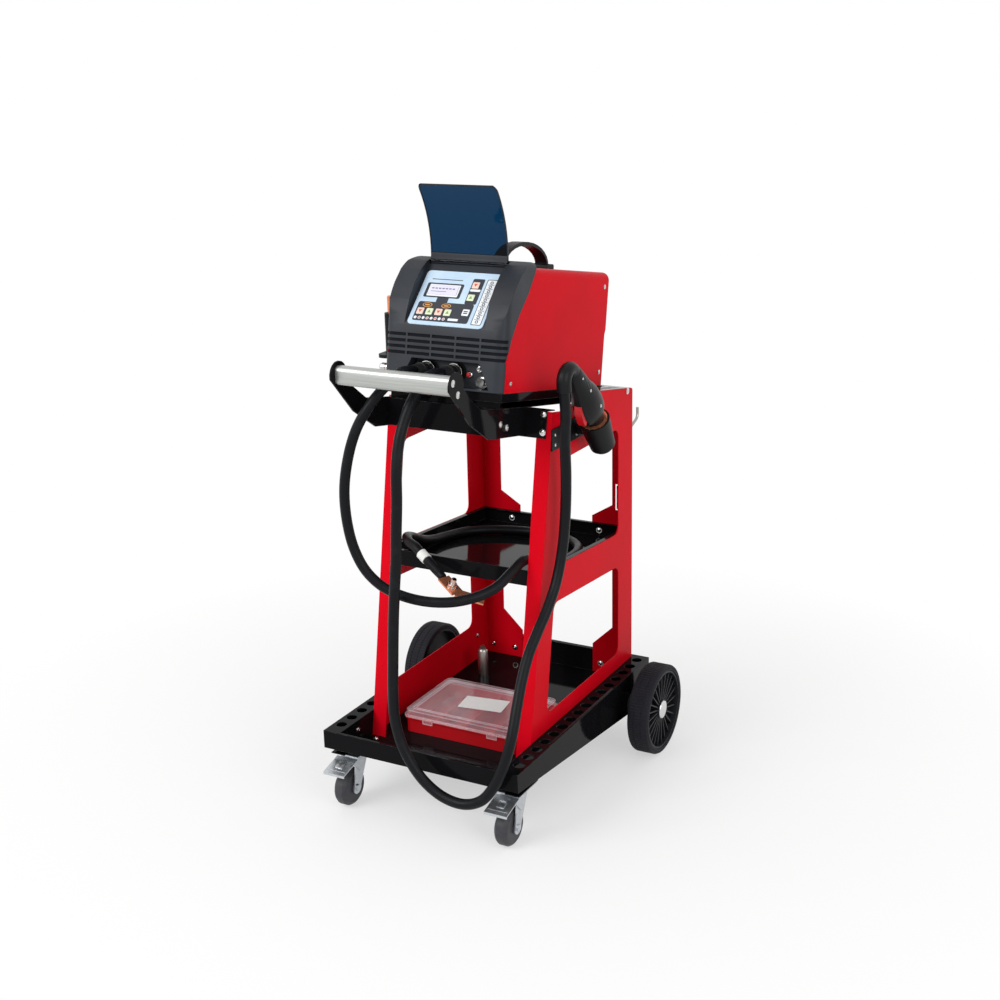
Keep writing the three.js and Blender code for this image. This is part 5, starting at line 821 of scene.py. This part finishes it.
# Cables: two heavy welding leads in smooth black rubber, from the sockets in the welder's front. The earth
# lead hangs in a loop and lies curled on the middle shelf, the gun lead hangs to the casters and rises to the
# gun.
def smooth_line(points, steps=14):
    """A centripetal Catmull-Rom curve: between two points each coordinate is a cubic whose end slopes come
    from the neighbours, divided by the square roots of the gaps."""
    points = np.asarray(points, float)
    padded = np.vstack([2 * points[0] - points[1], points, 2 * points[-1] - points[-2]])
    a, b, c, d = (padded[i:len(padded) - 3 + i] for i in range(4))
    gap = [np.sqrt(np.linalg.norm(q - p, axis=1))[:, None] for p, q in ((a, b), (b, c), (c, d))]
    out = ((b - a) / gap[0] - (c - a) / (gap[0] + gap[1]) + (c - b) / gap[1]) * gap[1]
    into = ((c - b) / gap[1] - (d - b) / (gap[1] + gap[2]) + (d - c) / gap[2]) * gap[1]
    t = np.linspace(0, 1, steps, endpoint=False)[None, :, None]
    b, c, out, into = (side[:, None, :] for side in (b, c, out, into))
    line = b + out * t + (3 * (c - b) - 2 * out - into) * t**2 + (2 * (b - c) + out + into) * t**3
    return np.vstack([line.reshape(-1, 3), points[-1]])


cable_rubber = Finish("cable_rubber", colour(14, 15, 18), 0.38, Specular_IOR_Level=0.14)
scuffs = cable_rubber.noise(38, 3).over(0.56, 0.78)
grain = cable_rubber.noise(2600, 2)
cable_rubber.vary(Base_Color=cable_rubber.mix(scuffs * 0.5, colour(13, 14, 17), colour(32, 34, 38)),
                  Roughness=0.32 + scuffs * 0.2 + grain * 0.08)
cable_rubber.bump(grain + cable_rubber.noise(170, 1) * 2.0, 0.00012)

cart_shift = np.array([0, 12.3998, 0])         # from the route's points to the cart's frame, in millimetres
earth_route = [
    (-39, -214.4, 857.5), (-39, -223.9, 859.2), (-39, -233.8, 860.9), (-44, -257, 860.7),
    (-54, -276, 845.7), (-68, -293, 825.7), (-84, -306, 799.7), (-102, -315, 763.7), (-117, -321, 714.7),
    (-126, -325, 655), (-124, -325, 595), (-113, -323, 544), (-92, -320, 504), (-60, -316, 477),
    (-20, -309, 462), (24, -298, 455), (66, -280, 455), (100, -252, 461), (121, -218.1, 471),
    (131, -180.1, 487), (135, -142.1, 498), (137, -104.1, 492), (139, -66.1, 476), (141, -28.1, 462),
    (143, 8.5, 451.6), (138, 76.7, 445.2), (118, 127.7, 441.2), (78, 164.4, 438.3), (24, 182.4, 436.9),
    (-36, 178.3, 437.2), (-90, 154.6, 439.1), (-130, 113.8, 442.3), (-147, 61.2, 446.4),
    (-152, 10.6, 453.4), (-152, -28.1, 465), (-150, -62.1, 481), (-144, -90.1, 492), (-134, -112.1, 498),
    (-117, -132.1, 497.5), (-95.1, -142.6, 492.7), (-87.6, -145.6, 488.8), (-80.5, -148.4, 485.2)]
gun_route = [
    (18, -214.4, 857.5), (18, -223.9, 859.2), (18, -233.8, 860.9), (16, -262, 858.7), (12, -282, 842.7),
    (6, -300, 819.7), (1, -316, 791.7), (-2, -331, 756.7), (-3, -341, 711.7), (-3, -345, 651),
    (-6, -346, 598), (-9, -346, 545), (-15, -346, 487), (-20, -346, 429), (-25, -346, 349),
    (-28, -346, 285), (-27, -346, 235), (-13, -347, 184), (9, -347, 146), (38, -348, 117), (76, -349, 98),
    (116, -348, 94), (150, -346, 108), (175, -341, 140), (191, -331, 182), (199, -316, 228),
    (197, -290, 275), (192, -261, 313), (190, -228, 354), (192, -194, 388), (195, -161, 420),
    (197, -127, 462), (200, -106, 520), (203, -98, 587), (206, -100, 660), (209, -109, 729.7),
    (213, -113.2, 775.5), (213, -115.5, 797.4), (213, -116.7, 809.3), (213, -118, 821.1)]
earth_line = smooth_line(earth_route) + cart_shift
gun_line = smooth_line(gun_route) + cart_shift
earth_radius, gun_radius = 9.5, 10.0
earth_skin = carried(earth_line, round_section(earth_radius))
gun_skin = carried(gun_line, round_section(gun_radius))
earth_lead = piece("earth_lead", [earth_skin], cable_rubber)
gun_lead = piece("gun_lead", [gun_skin], cable_rubber)
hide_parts("earth_cable")
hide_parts("gun_cable")


# Plugs: moulded rubber bodies with grip flutes, pushed into the sockets, and ribbed boots that taper onto the
# leads.
plug_profile = [(-10, 0), (-10, 10.4), (0, 10.4), (0.2, 13.6), (1.2, 14.6), (4.2, 14.6), (4.8, 13.9),
                (6.0, 13.9), (6.4, 14.5), (20.0, 14.5), (20.6, 13.8), (22, 13.8), (22.6, 14.4), (24.4, 14.4),
                (25, 12.4), (26.5, 12.3)]
plug_profile += ribs(27.5, 43.0, 5, (12.2, 11.0), (11.2, 10.2)) + [(44.0, 10.2), (44.0, 0)]
plug_body = lathe(plug_profile, 60, flutes=15, flute_depth=0.9, fluted=(6.5, 19.9))
for plug_name, x in socket_spots.items():
    plug = framed(plug_body, on_deck(x, mouth_back, plug_height), -deck_back)
    piece(plug_name + "_moulding", [plug], black_plastic)
    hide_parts(plug_name)


# Earth clamp: a white heat-shrunk sleeve over the lead's end, a ribbed black grip, and copper plates held by
# a chromed bolt with its nut and washer.
white_plastic = Finish("white_plastic", colour(232, 232, 228), 0.45)
white_plastic.vary(Base_Color=white_plastic.mix(white_plastic.noise(120, 3).over(0.5, 0.8) * 0.6,
                                                colour(236, 236, 232), colour(190, 188, 182)))
white_plastic.bump(white_plastic.noise(300, 2), 0.0001)
grip_start = np.array([-80, -136.16, 484.97])
grip_aim = np.array([0.84, -0.33, -0.43])
grip_aim /= np.linalg.norm(grip_aim)
sleeve_profile = [(0, 0), (0, 9.9), (0.8, 10.6), (3, 10.75), (6, 10.4), (9, 10.7), (13, 10.35), (17, 10.7),
                  (19.4, 10.6), (20, 9.9), (20, 0)]
sleeve = framed(lathe(sleeve_profile, 40, 5, 0.3, fluted=(3, 17)), grip_start, grip_aim)
clamp_sleeve = piece("clamp_sleeve", [sleeve], white_plastic)
grip_profile = [(20.1, 0), (20.1, 8.2), (21, 9.2), (24, 9.6)]
grip_profile += ribs(26, 62, 12, (9.6, 8.6), (8.9, 8.0)) + [(64, 8.5), (72, 7.8), (74, 7.2), (74, 0)]
grip = framed(lathe(grip_profile, 36), grip_start, grip_aim)
clamp_grip = piece("clamp_grip", [grip], cable_rubber)
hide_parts("earth_grip")
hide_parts("earth_grip")
dress(copper, "earth_clamp")

lug_start = grip_start + 74.6 * grip_aim
lug_across = np.cross((0, 0, 1), grip_aim)
lug_across = lug_across / np.linalg.norm(lug_across)
lug_up = np.cross(grip_aim, lug_across)
bolt_foot = lug_start + 27.6 * grip_aim
thread = [(9.0, 5.1)] + ribs(9.2, 19.6, 8, (5.2, 5.2), (4.75, 4.75)) + [(20.3, 4.6), (20.6, 0)]
nut = [(2.9, 0), (2.9, 8.4), (3.2, 8.9), (8.6, 8.9), (9.0, 8.4), (9.0, 0)]
washer = [(1.76, 0), (1.76, 10.4), (2.8, 10.4), (2.8, 0)]
bolt_head = [(-7.4, 0), (-7.4, 8.2), (-7.0, 8.8), (-1.8, 8.8), (-1.8, 0)]
bolt_parts = [framed(lathe(profile, sides), bolt_foot, lug_up)
              for profile, sides in ((thread, 20), (nut, 6), (washer, 28), (bolt_head, 6))]
clamp_bolt = piece("clamp_bolt", bolt_parts, chrome)


# Studio: a pale floor that fades to white away from the object, in white surroundings. Two soft lamps stand
# in front, a strong one on the left and a weaker one on the right.
scene.view_settings.view_transform = "Standard"
floor_reach, floor_sunk = 14.0, -0.0003
floor_mesh = bpy.data.meshes.new("floor")
corners = [(x * floor_reach, y * floor_reach, floor_sunk) for x, y in ((-1, -1), (1, -1), (1, 1), (-1, 1))]
floor_mesh.from_pydata(corners, [], [(0, 1, 2, 3)])
floor = bpy.data.objects.new("floor", floor_mesh)
scene.collection.objects.link(floor)
pale_floor = Finish("pale_floor", (0.9, 0.9, 0.9, 1), 0.7)
floor_mesh.materials.append(pale_floor.material)


def seen_ray(finish):
    """1 for rays from the camera, off gloss or through glass, which all should meet a white background."""
    rays = ("Is Camera Ray", "Is Glossy Ray", "Is Transmission Ray")
    kinds = [finish.node("LightPath", {}, {}, ray) for ray in rays]
    return (kinds[0] + kinds[1] + kinds[2]).over(0.0, 1.0)


glow_near, glow_rise = 0.52, 0.48
distance = pale_floor.node("VectorMath", {"operation": "LENGTH"}, {0: pale_floor.place}, "Value")
glow = pale_floor.node("Emission", {}, {"Color": (1, 1, 1, 1), "Strength": 1.0})
glow_share = (glow_near + distance.over(0.4, 1.3) * glow_rise) * seen_ray(pale_floor)
lit_floor = Value(pale_floor, pale_floor.surface.outputs[0])
blended = pale_floor.node("MixShader", {}, {0: glow_share, 1: lit_floor, 2: glow})
pale_floor.feed(pale_floor.tree.nodes["Material Output"], {"Surface": blended})

world = bpy.data.worlds.new("studio")
scene.world = world
world.use_nodes = True


class Surroundings(Finish):
    """The world's own tree, used with the same calls as a material's."""

    def __init__(self, tree):
        self.tree = tree


studio = Surroundings(world.node_tree)
light_level, seen_level = 0.62, 1.0
lit = studio.node("Background", {}, {"Color": (1, 1, 1, 1), "Strength": light_level})
seen = studio.node("Background", {}, {"Color": (1, 1, 1, 1), "Strength": seen_level})
around = studio.node("MixShader", {}, {0: seen_ray(studio), 1: lit, 2: seen})
studio.feed(world.node_tree.nodes["World Output"], {"Surface": around})
lamp_aim = Vector((0, 0, 0.6))
for lamp_name, place, power, size in (("key_lamp", (-1.7, -3.3, 3.0), 105.0, 2.2),
                                      ("fill_lamp", (3.2, -1.6, 2.2), 42.0, 2.4)):
    lamp = bpy.data.objects.new(lamp_name, bpy.data.lights.new(lamp_name, "AREA"))
    lamp.data.energy, lamp.data.size = power, size
    facing = (lamp_aim - Vector(place)).to_track_quat("-Z", "Y")
    lamp.matrix_world = Matrix.Translation(place) @ facing.to_matrix().to_4x4()
    scene.collection.objects.link(lamp)


# Camera: in front of the cart and to its right, a little above the push bar, with a slight roll. Its place,
# aim and lens are those that fit the photo best.
camera_place = Vector((1.3800, -2.4654, 1.4394))
camera_aim = Vector((-0.4614, 0.8362, -0.2964)).normalized()
camera_roll = np.radians(-1.315)
camera = bpy.data.objects.new("camera", bpy.data.cameras.new("camera"))
scene.collection.objects.link(camera)
level_right = camera_aim.cross(Vector((0, 0, 1))).normalized()
level_up = level_right.cross(camera_aim)
right = np.cos(camera_roll) * level_right + np.sin(camera_roll) * level_up
up = np.cos(camera_roll) * level_up - np.sin(camera_roll) * level_right
camera_axes = Matrix((right, up, -camera_aim)).transposed()
camera.matrix_world = Matrix.Translation(camera_place) @ camera_axes.to_4x4()
camera.data.sensor_width = 36
camera.data.lens = 54.76
scene.camera = camera
